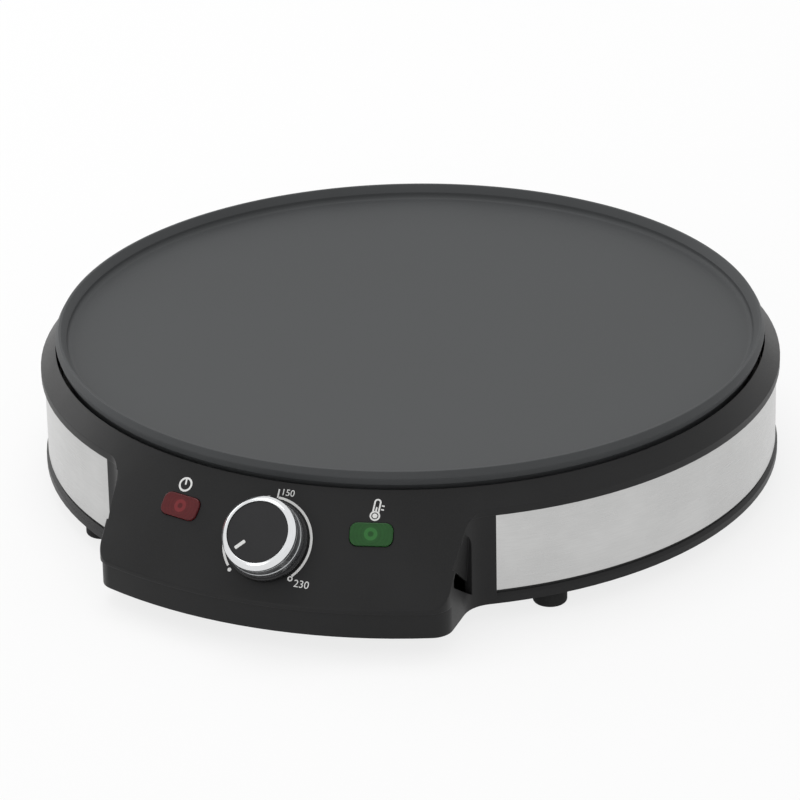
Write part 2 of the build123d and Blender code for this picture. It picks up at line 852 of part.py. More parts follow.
def make_trim_band(side):
    """Brushed steel strip in the wall's recess, from the console round towards the back."""
    angles = (side * band_front_angle, side * band_rear_angle)
    inner = band_radius - band_thickness
    return ring_sector(inner, band_radius, band_low_z, band_high_z, min(angles), max(angles))


# ---------------------------------------------------------------- base
def foot_spots():
    """Where the four feet stand, by name."""
    return {
        "front_right": polar(foot_circle, foot_angle), "front_left": polar(foot_circle, -foot_angle),
        "rear_right": polar(foot_circle, 180 - foot_angle), "rear_left": polar(foot_circle, foot_angle - 180),
    }


def post_spots():
    """The two posts of the cord clamp, one each side of the cord."""
    return [Vector(side * clamp_post_offset, clamp_row, 0) for side in (1, -1)]


def base_pan():
    """Floor of the base cover with its upright rim, inside the casing's foot ring."""
    def plan(inset):
        return console_outline(
            console_inner_radius - inset, console_inner_half_width - inset, pocket_radius - inset,
            console_inner_corner - inset, console_inner_root + inset,
        )
    floor = prism(plan(base_fit_gap), base_bottom_z, base_top_z)
    rim = prism(plan(base_fit_gap), base_top_z, recess_low_z)
    return floor + rim - prism(plan(base_fit_gap + base_rim_width), base_top_z, recess_low_z + past)


def base_vents():
    """Ring of slots through the floor, left out under the mains entry."""
    slot = extrude(SlotOverall(vent_length, vent_width, rotation=90), base_thickness + 2 * past)
    angles = [360 * index / vent_count for index in range(vent_count)]
    return [
        Rot(Z=angle) * Pos(0, -vent_circle, base_bottom_z - past) * slot
        for angle in angles if abs(angle - 180) >= vent_rear_gap
    ]


def make_base_cover():
    """Floor pan with screw pads, foot bosses, vents, the block's plinth and the cord clamp's posts."""
    cover = base_pan()
    root_z = base_top_z - past
    wall_spots, nose_spots = base_screw_spots()
    for spot in wall_spots + nose_spots:
        cover += upright(spot, base_pad_radius, root_z, column_low_z)
    for spot in foot_spots().values():
        cover += upright(spot, base_pad_radius, root_z, base_top_z + foot_boss_height)
    for spot in post_spots():
        cover += upright(spot, clamp_post_radius, root_z, clamp_low_z)
    plinth = block(block_length + 2 * plinth_margin, block_width + 2 * plinth_margin, root_z, block_low_z)
    saddle = block(2 * clamp_post_offset, saddle_width, root_z, gland_axis_height - gland_bore_radius)
    cover += Pos(0, block_row) * plinth
    cover += Pos(0, clamp_row) * saddle
    seat_z = column_low_z - head_seat_depth
    for spot in wall_spots + nose_spots:
        cover -= upright(spot, screw_head_radius + head_gap, base_bottom_z - past, seat_z)
        cover -= upright(spot, screw_radius + screw_hole_gap, base_bottom_z - past, column_low_z + past)
    for spot in foot_spots().values():
        top = foot_head_seat + foot_screw_length + screw_tip_room
        cover -= upright(spot, screw_radius + thread_gap, base_bottom_z - past, top)
    thread_radius = block_screw_radius + thread_gap
    for spot in post_spots():
        cover -= upright(spot, thread_radius, clamp_low_z - clamp_screw_grip - past, clamp_low_z + past)
    for side in (1, -1):
        spot = Vector(side * block_fixing_offset, block_row, 0)
        cover -= upright(spot, thread_radius, base_top_z - past, block_low_z + past)
    for vent in base_vents():
        cover -= vent
    length, width = label_length + 2 * label_gap, label_width + 2 * label_gap
    return cover - block(length, width, base_bottom_z - past, base_bottom_z + label_thickness)


def make_foot(spot):
    """Soft foot with a sunk screw seat."""
    foot = disc(foot_radius, 0, base_bottom_z)
    foot = fillet(foot.edges().sort_by(Axis.Z)[0], foot_edge_round)
    foot -= disc(screw_head_radius + head_gap, -past, foot_head_seat)
    foot -= disc(screw_radius + screw_hole_gap, -past, base_bottom_z + past)
    return Pos(spot.X, spot.Y) * foot


def make_base_fixings():
    """Screws of the base cover and of the feet, and the bare rating plate."""
    wall_spots, nose_spots = base_screw_spots()
    base_screw = pan_screw(screw_radius, base_screw_length, screw_head_radius, screw_head_height)
    foot_screw = pan_screw(screw_radius, foot_screw_length, screw_head_radius, screw_head_height)
    seat_z = column_low_z - head_seat_depth
    base_screws = [Pos(spot.X, spot.Y, seat_z) * base_screw for spot in wall_spots + nose_spots]
    foot_screws = [Pos(spot.X, spot.Y, foot_head_seat) * foot_screw for spot in foot_spots().values()]
    label = block(label_length, label_width, base_bottom_z, base_bottom_z + label_thickness)
    return grouped(base_screws), grouped(foot_screws), label


# ---------------------------------------------------------------- control knob
def spindle_flat_cut(gap, low, high):
    """Block that lies over the spindle's flat, a gap away from it."""
    reach = 2 * spindle_radius
    return Pos(0, spindle_radius - spindle_flat + gap + reach / 2) * block(2 * reach, reach, low, high)


def make_knob():
    """Skirted knob: black body, chromed ring, black cap and white pointer, in the panel's frame."""
    low = knob_panel_gap
    skirt_top = low + knob_skirt_height
    core_radius = knob_ring_top_radius - knob_ring_wall - cap_fit_gap
    body = disc(knob_skirt_radius, low, skirt_top)
    body = fillet(body.edges().sort_by(Axis.Z)[-1], knob_skirt_round)
    body += disc(core_radius, skirt_top - past, knob_body_top)
    well = disc(core_radius - knob_core_wall, low - past, knob_body_top - knob_top_wall)
    well += disc(knob_skirt_radius - knob_skirt_wall, low - past, low + knob_skirt_sink)
    well -= disc(hub_radius, low - 2 * past, knob_body_top)
    bore_top = knob_body_top - spindle_bore_cover
    bore = disc(spindle_radius + spindle_fit_gap, low - past, bore_top)
    body -= well
    body -= bore - spindle_flat_cut(spindle_fit_gap, low - 2 * past, knob_body_top)
    ring = turned(
        (core_radius + cap_fit_gap, skirt_top), (knob_ring_base_radius, skirt_top),
        (knob_ring_top_radius, knob_height - knob_bevel),
        (knob_ring_top_radius - knob_bevel_inset, knob_height), (core_radius + cap_fit_gap, knob_height),
    )
    cap = disc(core_radius, knob_body_top, knob_height - cap_recess)
    cap = fillet(cap.edges().sort_by(Axis.Z)[-1], cap_edge_round)
    middle = (pointer_start + pointer_end) / 2
    pointer = extrude(
        RectangleRounded(pointer_width, pointer_end - pointer_start, pointer_corner), pointer_height
    )
    pointer = Rot(Z=-pointer_angle) * Pos(0, middle, knob_height - cap_recess) * pointer
    frame = panel_frame(0, knob_slant)
    return frame * body, frame * ring, frame * cap, frame * pointer


def make_spindle():
    """D-shaped spindle with a captive flange and a threaded nose."""
    top = knob_body_top - spindle_bore_cover - spindle_end_gap
    shoulder = -pad_depth - thermostat_sheet - flange_gap
    spindle = disc(spindle_radius, nut_top + spindle_nose_gap, top)
    spindle += disc(spindle_radius + flange_proud, shoulder - flange_thickness, shoulder)
    spindle += disc(nose_radius, nut_top - nut_height - nut_travel - nose_tip_room, nut_top + past)
    flat = spindle_flat_cut(0, knob_panel_gap - spindle_flat_lead, top + past)
    return panel_frame(0, knob_slant) * (spindle - flat)


# ---------------------------------------------------------------- thermostat
def thermostat_housing():
    """Folded sheet frame with the spindle's collar and the nut's two guide rails."""
    w, h, t = thermostat_width, thermostat_height, thermostat_sheet
    front, back = -pad_depth, -pad_depth - thermostat_frame_depth
    frame = block(w, h, back, front) - block(w - 2 * t, h - 2 * t, back - past, front - t)
    frame += disc(collar_radius, front - t, -collar_top_depth)
    rail_x = nut_size / 2 + nut_side_gap + t / 2
    for side in (1, -1):
        frame += Pos(side * rail_x) * block(t, rail_width, back + rail_back_gap, front - t / 2)
        hole = disc(thermostat_screw_radius + thread_gap, front - t - past, front + past)
        frame -= Pos(side * thermostat_screw_spacing / 2) * hole
    return frame - disc(spindle_radius + spindle_fit_gap, front - t - past, past)


def switch_housing():
    """Moulded block behind the frame, with the arm's pivot post and the fixed contact."""
    w, h = thermostat_width, thermostat_height
    back = -pad_depth - thermostat_frame_depth
    low = back - switch_depth
    switch = block(w, h, low, back)
    switch -= block(w - 2 * switch_wall, h - 2 * switch_wall, low + switch_floor, back + past)
    post = block(post_size, arm_width, low + past, arm_low - contact_gap_rest)
    contact = disc(fixed_contact_radius, low + past, arm_low - arm_swing_gap)
    switch += Pos((post_size - arm_length) / 2) * post
    return switch + Pos(arm_length / 2 - contact_inset) * contact


def make_thermostat():
    """Sheet frame, switch block, its two blades and its two fixing screws."""
    low = -pad_depth - thermostat_frame_depth - switch_depth
    blade = block(blade_thickness, blade_width, low - blade_length, low)
    grip = pad_depth + thermostat_sheet + thermostat_screw_tip
    screw = pan_screw(thermostat_screw_radius, grip, thermostat_head_radius, thermostat_head_height)
    screw = Pos(0, 0, -thermostat_head_sink) * Rot(X=180) * screw
    panel = panel_frame(0, knob_slant)
    blades = [panel * Pos(side * blade_offset) * blade for side in (1, -1)]
    screws = [panel * Pos(side * thermostat_screw_spacing / 2) * screw for side in (1, -1)]
    return panel * thermostat_housing(), panel * switch_housing(), grouped(blades), grouped(screws)


def make_nut_and_arm():
    """Travelling nut on the spindle's nose, and the sprung contact arm."""
    panel = panel_frame(0, knob_slant)
    nut = block(nut_size, nut_size, nut_top - nut_height, nut_top)
    nut -= disc(nose_radius + spindle_fit_gap, nut_top - nut_height - past, nut_top + past)
    arm = block(arm_length, arm_width, arm_low, arm_low + arm_thickness)
    arm += Pos(arm_length / 2 - contact_inset) * disc(moving_contact_radius, arm_low - contact_tip, arm_axis)
    arm += Pos((post_size - arm_length) / 2, 0, arm_axis) * Rot(X=90) * Cylinder(arm_barrel_radius, arm_width)
    return panel * nut, panel * arm


# ---------------------------------------------------------------- sensor, fuse and their clips
def make_rod_under_plate(row, radius, length):
    """Round body lying along X under the plate."""
    rod = Rot(Y=90) * Cylinder(radius, length)
    rod = chamfer(rod.edges().filter_by(GeomType.CIRCLE), radius * rod_chamfer_share)
    return Pos(0, -row, clip_boss_z + radius) * rod


def clip_spots(row):
    """The two screws of one clip, in front of its rod and behind it."""
    return [Vector(0, -row + side * clip_half_span, 0) for side in (1, -1)]


def make_clip(row):
    """Flat steel bar that presses a rod to the plate from below."""
    length = 2 * clip_half_span + clip_width
    bar = extrude(RectangleRounded(clip_width, length, bar_corner), clip_thickness)
    bar = Pos(0, -row, clip_boss_z - clip_thickness) * bar
    low, high = clip_boss_z - clip_thickness - past, clip_boss_z + past
    for spot in clip_spots(row):
        bar -= upright(spot, clip_screw_radius + screw_hole_gap, low, high)
    return bar


def make_clip_screws():
    """Two screws up through each clip."""
    grip = clip_thickness + clip_screw_grip
    screw = pan_screw(clip_screw_radius, grip, thermostat_head_radius, thermostat_head_height)
    spots = [spot for row in clip_rows for spot in clip_spots(row)]
    return grouped([Pos(spot.X, spot.Y, clip_boss_z - clip_thickness) * screw for spot in spots])


def capillary_points():
    """Route of the sensor's tube: out of the bulb, down through the shield and into the thermostat's side."""
    depth = -pad_depth - capillary_entry_depth
    entry = on_frame(panel_frame(0, knob_slant), thermostat_width / 2, -capillary_entry_side, depth)
    bulb_end = Vector(bulb_length / 2, -bulb_row, clip_boss_z + bulb_radius)
    drop = bulb_end + Vector(capillary_lead, 0, 0)
    return [bulb_end, drop, Vector(drop.X, drop.Y, entry.Z), Vector(drop.X, entry.Y, entry.Z), entry]


# ---------------------------------------------------------------- indicator lamps
def make_lamp(angle):
    """Lens, neon lamp and holder behind one panel window."""
    flange_low = -lens_pad_depth - lens_flange_thickness
    holder_low = flange_low - holder_depth
    width, height = lens_width + 2 * lens_flange, lens_height + 2 * lens_flange
    tip = lens_proud - lens_front_wall
    lens = rounded_plate(lens_width, lens_height, lens_round, -lens_pad_depth, lens_proud)
    lens = fillet(lens.faces().sort_by(Axis.Z)[-1].edges(), lens_edge_round)
    lens += rounded_plate(width, height, lens_round, flange_low, -lens_pad_depth)
    lens -= disc(lamp_radius + lamp_fit_gap, flange_low - past, tip)
    lamp = disc(lamp_radius, tip - lamp_tip_gap - lamp_length, tip - lamp_tip_gap)
    lamp = fillet(lamp.edges().sort_by(Axis.Z)[-1], lamp_tip_round)
    holder = block(width, height, holder_low, flange_low)
    holder = fillet(holder.edges().filter_by(Axis.Z), holder_corner)
    holder -= disc(lamp_radius + lamp_fit_gap, holder_low - past, flange_low + past)
    place = lens_frame(angle)
    return place * lens, place * lamp, place * holder


# ---------------------------------------------------------------- mains entry
def make_gland():
    """Flanged sleeve that the cord comes in through."""
    flange = Cylinder(gland_flange_radius, gland_flange_height, align=STANDING)
    flange = fillet(flange.edges().sort_by(Axis.Z)[-1], gland_flange_round)
    sleeve = Cylinder(gland_sleeve_radius, gland_length, align=HANGING)
    gland = sleeve + flange - Cylinder(gland_bore_radius, 4 * gland_length)
    return Plane(origin=(0, rear_face, gland_axis_height), x_dir=(1, 0, 0), z_dir=(0, 1, 0)) * gland


def make_clamp():
    """Bar over the cord and its two screws down into the base cover's posts."""
    top = clamp_low_z + clamp_thickness
    bar = extrude(RectangleRounded(clamp_length, clamp_width, bar_corner), clamp_thickness)
    bar = Pos(0, clamp_row, clamp_low_z) * bar
    grip = clamp_thickness + clamp_screw_grip
    screw = Rot(X=180) * pan_screw(block_screw_radius, grip, thermostat_head_radius, thermostat_head_height)
    for spot in post_spots():
        bar -= upright(spot, block_screw_radius + screw_hole_gap, clamp_low_z - past, top + past)
    return bar, grouped([Pos(spot.X, spot.Y, top) * screw for spot in post_spots()])


def make_terminal_block():
    """Three-pole terminal block with its clamping screws and its two fixing screws."""
    top = block_low_z + block_height
    body = Pos(0, block_row) * block(block_length, block_width, block_low_z, top)
    depth = top - pole_z - pole_bore_radius + screw_bite
    clamping = Rot(X=180) * pan_screw(
        block_screw_radius, depth, thermostat_head_radius, thermostat_head_height)
    fixing = Rot(X=180) * pan_screw(
        block_screw_radius, top - base_top_z + screw_bite, fixing_head_radius, thermostat_head_height)
    screws = []
    for pole in (-1, 0, 1):
        bore = Plane(origin=(pole * pole_pitch, block_row, pole_z), x_dir=(1, 0, 0), z_dir=(0, 1, 0))
        body -= bore * Cylinder(pole_bore_radius, block_width + 2 * past)
        for side in (1, -1):
            spot = Vector(pole * pole_pitch, block_row + side * block_screw_offset, 0)
            body -= upright(spot, block_screw_radius + thread_gap, pole_z, top + past)
            screws.append(Pos(spot.X, spot.Y, top) * clamping)
    for side in (1, -1):
        spot = Vector(side * block_fixing_offset, block_row, 0)
        body -= upright(spot, block_screw_radius + screw_hole_gap, block_low_z - past, top + past)
        screws.append(Pos(spot.X, spot.Y, top) * fixing)
    return body, grouped(screws)


def earth_spot():
    """Where the earth tag's screw goes up into the shield."""
    return Vector(-earth_tag_x, earth_tag_y, 0)


def make_earth_tag():
    """Earth tag under the shield, and its screw."""
    spot = earth_spot()
    low = shield_low_z - clip_thickness
    tag = extrude(RectangleRounded(earth_tag_width, earth_tag_length, earth_tag_corner), clip_thickness)
    tag = Pos(spot.X, spot.Y + earth_tag_length / 2 - earth_tag_end, low) * tag
    tag -= upright(spot, clip_screw_radius + screw_hole_gap, low - past, shield_low_z + past)
    grip = clip_thickness + earth_screw_grip
    screw = pan_screw(clip_screw_radius, grip, thermostat_head_radius, thermostat_head_height)
    return tag, Pos(spot.X, spot.Y, low) * screw


# ---------------------------------------------------------------- wires held inside
def led_out(tip, out):
    """Point where a wire first turns after a blade, kept clear above the base."""
    turn = tip + out
    return Vector(turn.X, turn.Y, max(turn.Z, base_top_z + wire_radius + wire_floor_gap))


def lamp_lead(angle, side, blade_meet):
    """Thin lead from one lamp's tail to the blade on its side."""
    tail = lens_proud - lens_front_wall - lamp_tip_gap - lamp_length
    lamp = lens_frame(angle)
    points = [
        on_frame(lamp, 0, 0, tail), on_frame(lamp, 0, 0, tail - lamp_lead_drop),
        blade_meet + Vector(side * lamp_lead_turn, 0, 0), blade_meet,
    ]
    return tube_along(points, capillary_radius, lamp_lead_bend)


def make_wires(pin_spots):
    """The captive wires between terminal block, thermostat, fuse, heater pins, earth tag and lamps."""
    panel = panel_frame(0, knob_slant)
    blade_root = -pad_depth - thermostat_frame_depth - switch_depth
    front = block_row - block_width / 2
    fuse_z = clip_boss_z + fuse_radius
    right_pin, left_pin = pin_spots
    pin_low = right_pin.Z - pin_length
    out = panel.z_dir * -wire_bend
    live_tip = on_frame(panel, blade_offset, 0, blade_root - blade_length)
    live_turn = led_out(live_tip, out)
    switched_tip = on_frame(panel, -blade_offset, 0, blade_root - blade_length)
    switched_turn_z = led_out(switched_tip, out).Z + switched_rise
    live = [
        Vector(pole_pitch, front, pole_z), Vector(pole_pitch, front - live_start, pole_z),
        Vector(lane_x, front - live_lane_start, pole_z - lane_rear_drop),
        Vector(lane_x, -element_circle + lane_front_gap, pole_z - lane_front_drop),
        Vector(live_turn_x, live_turn.Y + live_turn_run, live_turn.Z), live_turn, live_tip,
    ]
    switched = [
        switched_tip, led_out(switched_tip, out),
        Vector(left_pin.X, left_pin.Y - switched_turn, switched_turn_z),
        Vector(left_pin.X, left_pin.Y, switched_turn_z), Vector(left_pin.X, left_pin.Y, pin_low),
    ]
    neutral = [
        Vector(0, front, pole_z), Vector(0, front - neutral_start, pole_z),
        Vector(left_pin.X, front - neutral_lane_start, pole_z), Vector(left_pin.X, -fuse_row, pole_z),
        Vector(left_pin.X, -fuse_row, fuse_z), Vector(-fuse_length / 2, -fuse_row, fuse_z),
    ]
    lead_low = pin_low - fuse_lead_drop
    fuse_lead = [
        Vector(fuse_length / 2, -fuse_row, fuse_z), Vector(right_pin.X, -fuse_row, fuse_z),
        Vector(right_pin.X, -fuse_row, lead_low), Vector(right_pin.X, right_pin.Y, lead_low),
        Vector(right_pin.X, right_pin.Y, pin_low),
    ]
    tail_y = earth_tag_y + earth_tag_length - 2 * earth_tag_end
    earth = [
        Vector(-pole_pitch, front, pole_z), Vector(-pole_pitch, front - earth_start, pole_z),
        Vector(-earth_tag_x, tail_y, pole_z), Vector(-earth_tag_x, tail_y, shield_low_z - clip_thickness),
    ]
    leads = []
    for side, angle in ((-1, red_lens_angle), (1, green_lens_angle)):
        meet_x, meet_z = side * (blade_offset + blade_thickness / 2), (1 - lamp_lead_share) * blade_length
        leads.append(lamp_lead(angle, side, on_frame(panel, meet_x, 0, blade_root - meet_z)))
    return {
        "live_wire": tube_along(live, wire_radius, live_bends),
        "switched_wire": tube_along(switched, wire_radius, switched_bends),
        "neutral_wire": tube_along(neutral, wire_radius, neutral_bends),
        "fuse_lead": tube_along(fuse_lead, wire_radius, fuse_lead_bends),
        "earth_wire": tube_along(earth, wire_radius, earth_bends),
        "lamp_leads": grouped(leads),
    }


# ---------------------------------------------------------------- assembly
def make_parts():
    """Every piece of the crepe maker by name, still about the plate's axis."""
    tube, beads, pins, pin_spots = make_heater()
    spacers, plate_screws = make_plate_fixings()
    base_screws, foot_screws, label = make_base_fixings()
    knob_body, knob_ring, knob_cap, knob_pointer = make_knob()
    thermostat_frame, switch_block, blades, thermostat_screws = make_thermostat()
    nut, arm = make_nut_and_arm()
    clamp_bar, clamp_screws = make_clamp()
    terminal_block, terminal_screws = make_terminal_block()
    earth_tag, earth_screw = make_earth_tag()
    parts = {
        "hot_plate": make_hot_plate(), "heating_element": tube, "element_beads": beads, "element_pins": pins,
        "heat_shield": make_heat_shield(pin_spots), "plate_spacers": spacers, "plate_screws": plate_screws,
        "upper_casing": make_upper_casing(), "right_trim_band": make_trim_band(1),
        "left_trim_band": make_trim_band(-1), "base_cover": make_base_cover(), "base_screws": base_screws,
        "foot_screws": foot_screws, "rating_plate": label, "knob_body": knob_body, "knob_ring": knob_ring,
        "knob_cap": knob_cap, "knob_pointer": knob_pointer, "thermostat_spindle": make_spindle(),
        "thermostat_frame": thermostat_frame, "thermostat_switch": switch_block,
        "thermostat_blades": blades, "thermostat_screws": thermostat_screws, "travelling_nut": nut,
        "contact_arm": arm, "sensor_bulb": make_rod_under_plate(bulb_row, bulb_radius, bulb_length),
        "thermal_fuse": make_rod_under_plate(fuse_row, fuse_radius, fuse_length),
        "bulb_clip": make_clip(bulb_row), "fuse_clip": make_clip(fuse_row), "clip_screws": make_clip_screws(),
        "capillary_tube": tube_along(capillary_points(), capillary_radius, capillary_bend),
        "cord_gland": make_gland(), "cord_clamp": clamp_bar, "cord_clamp_screws": clamp_screws,
        "terminal_block": terminal_block, "terminal_screws": terminal_screws, "earth_tag": earth_tag,
        "earth_screw": earth_screw,
    }
    for name, spot in foot_spots().items():
        parts[name + "_foot"] = make_foot(spot)
    for name, angle in (("red", red_lens_angle), ("green", green_lens_angle)):
        parts[name + "_lens"], parts[name + "_lamp"], parts[name + "_lamp_holder"] = make_lamp(angle)
    parts.update(make_wires(pin_spots))
    return parts


def main():
    """Writes one STEP file for each piece."""
    os.makedirs("parts", exist_ok=True)
    for name, shape in make_parts().items():
        export_step(Pos(0, shift_to_middle) * shape, "parts/" + name + ".step")


if __name__ == "__main__":
    main()
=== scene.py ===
"""Looks of an electric crepe maker: a turned, coated plate in a moulded casing with its control knob.

Every length is in metres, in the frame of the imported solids: the front is -Y and z = 0 is the worktop.
"""

import json
import logging
import math
from dataclasses import dataclass, field
from enum import Enum
from typing import Any, Iterable, Mapping, Sequence

import bmesh
import bpy
from mathutils import Matrix, Vector


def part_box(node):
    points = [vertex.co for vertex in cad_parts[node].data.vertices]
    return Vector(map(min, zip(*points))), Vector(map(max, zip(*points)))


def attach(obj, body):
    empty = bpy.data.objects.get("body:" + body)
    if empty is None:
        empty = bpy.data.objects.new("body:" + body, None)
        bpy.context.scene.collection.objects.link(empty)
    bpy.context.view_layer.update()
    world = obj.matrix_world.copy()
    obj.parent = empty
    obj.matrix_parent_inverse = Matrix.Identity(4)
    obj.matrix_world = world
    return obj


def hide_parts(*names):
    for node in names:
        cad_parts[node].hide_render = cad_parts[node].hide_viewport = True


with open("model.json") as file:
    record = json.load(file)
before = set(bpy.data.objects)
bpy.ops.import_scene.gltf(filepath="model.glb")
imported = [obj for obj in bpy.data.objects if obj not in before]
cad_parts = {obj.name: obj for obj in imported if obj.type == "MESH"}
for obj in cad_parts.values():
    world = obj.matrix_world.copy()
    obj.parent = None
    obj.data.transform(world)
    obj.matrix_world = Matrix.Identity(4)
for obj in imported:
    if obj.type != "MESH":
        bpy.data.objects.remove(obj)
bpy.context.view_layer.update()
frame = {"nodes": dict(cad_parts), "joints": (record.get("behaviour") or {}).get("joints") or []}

LOG = logging.getLogger("crepe_maker")
WELD = 1e-6

NOISE_RANGE = (0.3, 0.7)
WHITE = (1.0, 1.0, 1.0, 1.0)

Colour = tuple[float, float, float]
Mesh = bpy.types.Mesh
Socket = bpy.types.NodeSocket


# ---------------------------------------------------------------- named options
class Body(Enum):
    """Rigid bodies that the pieces ride on."""

    HOUSING = "housing"
    KNOB = "knob"


class Brushing(Enum):
    """Which way the fine lines of a metal surface run."""

    ROUND_THE_PLATE = "round the plate's axis"
    ROUND_THE_DIAL = "round the knob's axis"
    ALONG_X = "along x"
    NONE = "none"


# ---------------------------------------------------------------- places read from the solids
def middle(node: str) -> Vector:
    """Middle of a solid's box."""
    low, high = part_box(node)
    return (low + high) / 2


def joint(name: str) -> Mapping[str, Any]:
    """A joint of the record by its name."""
    return next(j for j in frame["joints"] if j["name"] == name)


PLATE_CENTRE = Vector((0.0, middle("hot_plate").y, 0.0))
PLATE_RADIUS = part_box("hot_plate")[1].x
DIAL_CENTRE = Vector(joint("knob_turn")["pos_m"])
PANEL_NORMAL = -Vector(joint("knob_turn")["axis"]).normalized()


class Panel:
    """Sloped front of the casing: a cone about the plate's axis that prints and windows lie on."""

    def __init__(self) -> None:
        """Reads the cone's slope and size from the dial's centre."""
        self.across = Vector((1.0, 0.0, 0.0))
        self.up = PANEL_NORMAL.cross(self.across)
        self.dial_radius = (DIAL_CENTRE - PLATE_CENTRE).xy.length
        self.fall = -PANEL_NORMAL.y / PANEL_NORMAL.z

    def height_over(self, point: Vector) -> float:
        """How far a point stands over the cone, along the cone's normal."""
        out = (point - PLATE_CENTRE).xy.length - self.dial_radius
        return out * -PANEL_NORMAL.y + (point.z - DIAL_CENTRE.z) * PANEL_NORMAL.z

    def point(self, right: float, up: float, lift: float) -> Vector:
        """Point over the cone, pressed on to it along the normal at the dial.

        Args:
            right: Distance to the right of the dial's centre.
            up: Distance up the slope from the dial's centre.
            lift: Height over the cone.

        Returns:
            The point in the frame.
        """
        place = DIAL_CENTRE + self.across * right + self.up * up
        for _ in range(4):
            place = place - PANEL_NORMAL * (self.height_over(place) - lift)
        return place

    def basis(self, centre: Vector) -> Matrix:
        """Turned and moved frame on the cone, with Z out of it, at a point near its surface.

        Args:
            centre: The point.

        Returns:
            The frame's matrix.
        """
        out = (centre - PLATE_CENTRE).xy.normalized()
        normal = Vector((out.x * -PANEL_NORMAL.y, out.y * -PANEL_NORMAL.y, PANEL_NORMAL.z))
        across = Vector((-out.y, out.x, 0.0))
        turn = Matrix((across, normal.cross(across), normal)).transposed()
        return Matrix.Translation(centre) @ turn.to_4x4()


PANEL = Panel()


# ---------------------------------------------------------------- node trees
def feed(tree: bpy.types.NodeTree, slot: Socket, value: Any) -> None:
    """Links a socket into an input, or sets the input's own value.

    Args:
        tree: Tree that the input is in.
        slot: The input.
        value: A socket or a plain value.
    """
    if isinstance(value, Socket):
        tree.links.new(value, slot)
    else:
        slot.default_value = value


def add_node(
    tree: bpy.types.NodeTree, kind: str, inputs: Mapping[Any, Any] | None = None, **settings: Any,
) -> bpy.types.Node:
    """Adds a node.

    Args:
        tree: Shader or geometry tree.
        kind: The node's type.
        inputs: Values or sockets by the input's name or place.
        settings: Attributes of the node itself.

    Returns:
        The node.
    """
    made = tree.nodes.new(kind)
    for name, value in settings.items():
        setattr(made, name, value)
    for key, value in (inputs or {}).items():
        feed(tree, made.inputs[key], value)
    return made


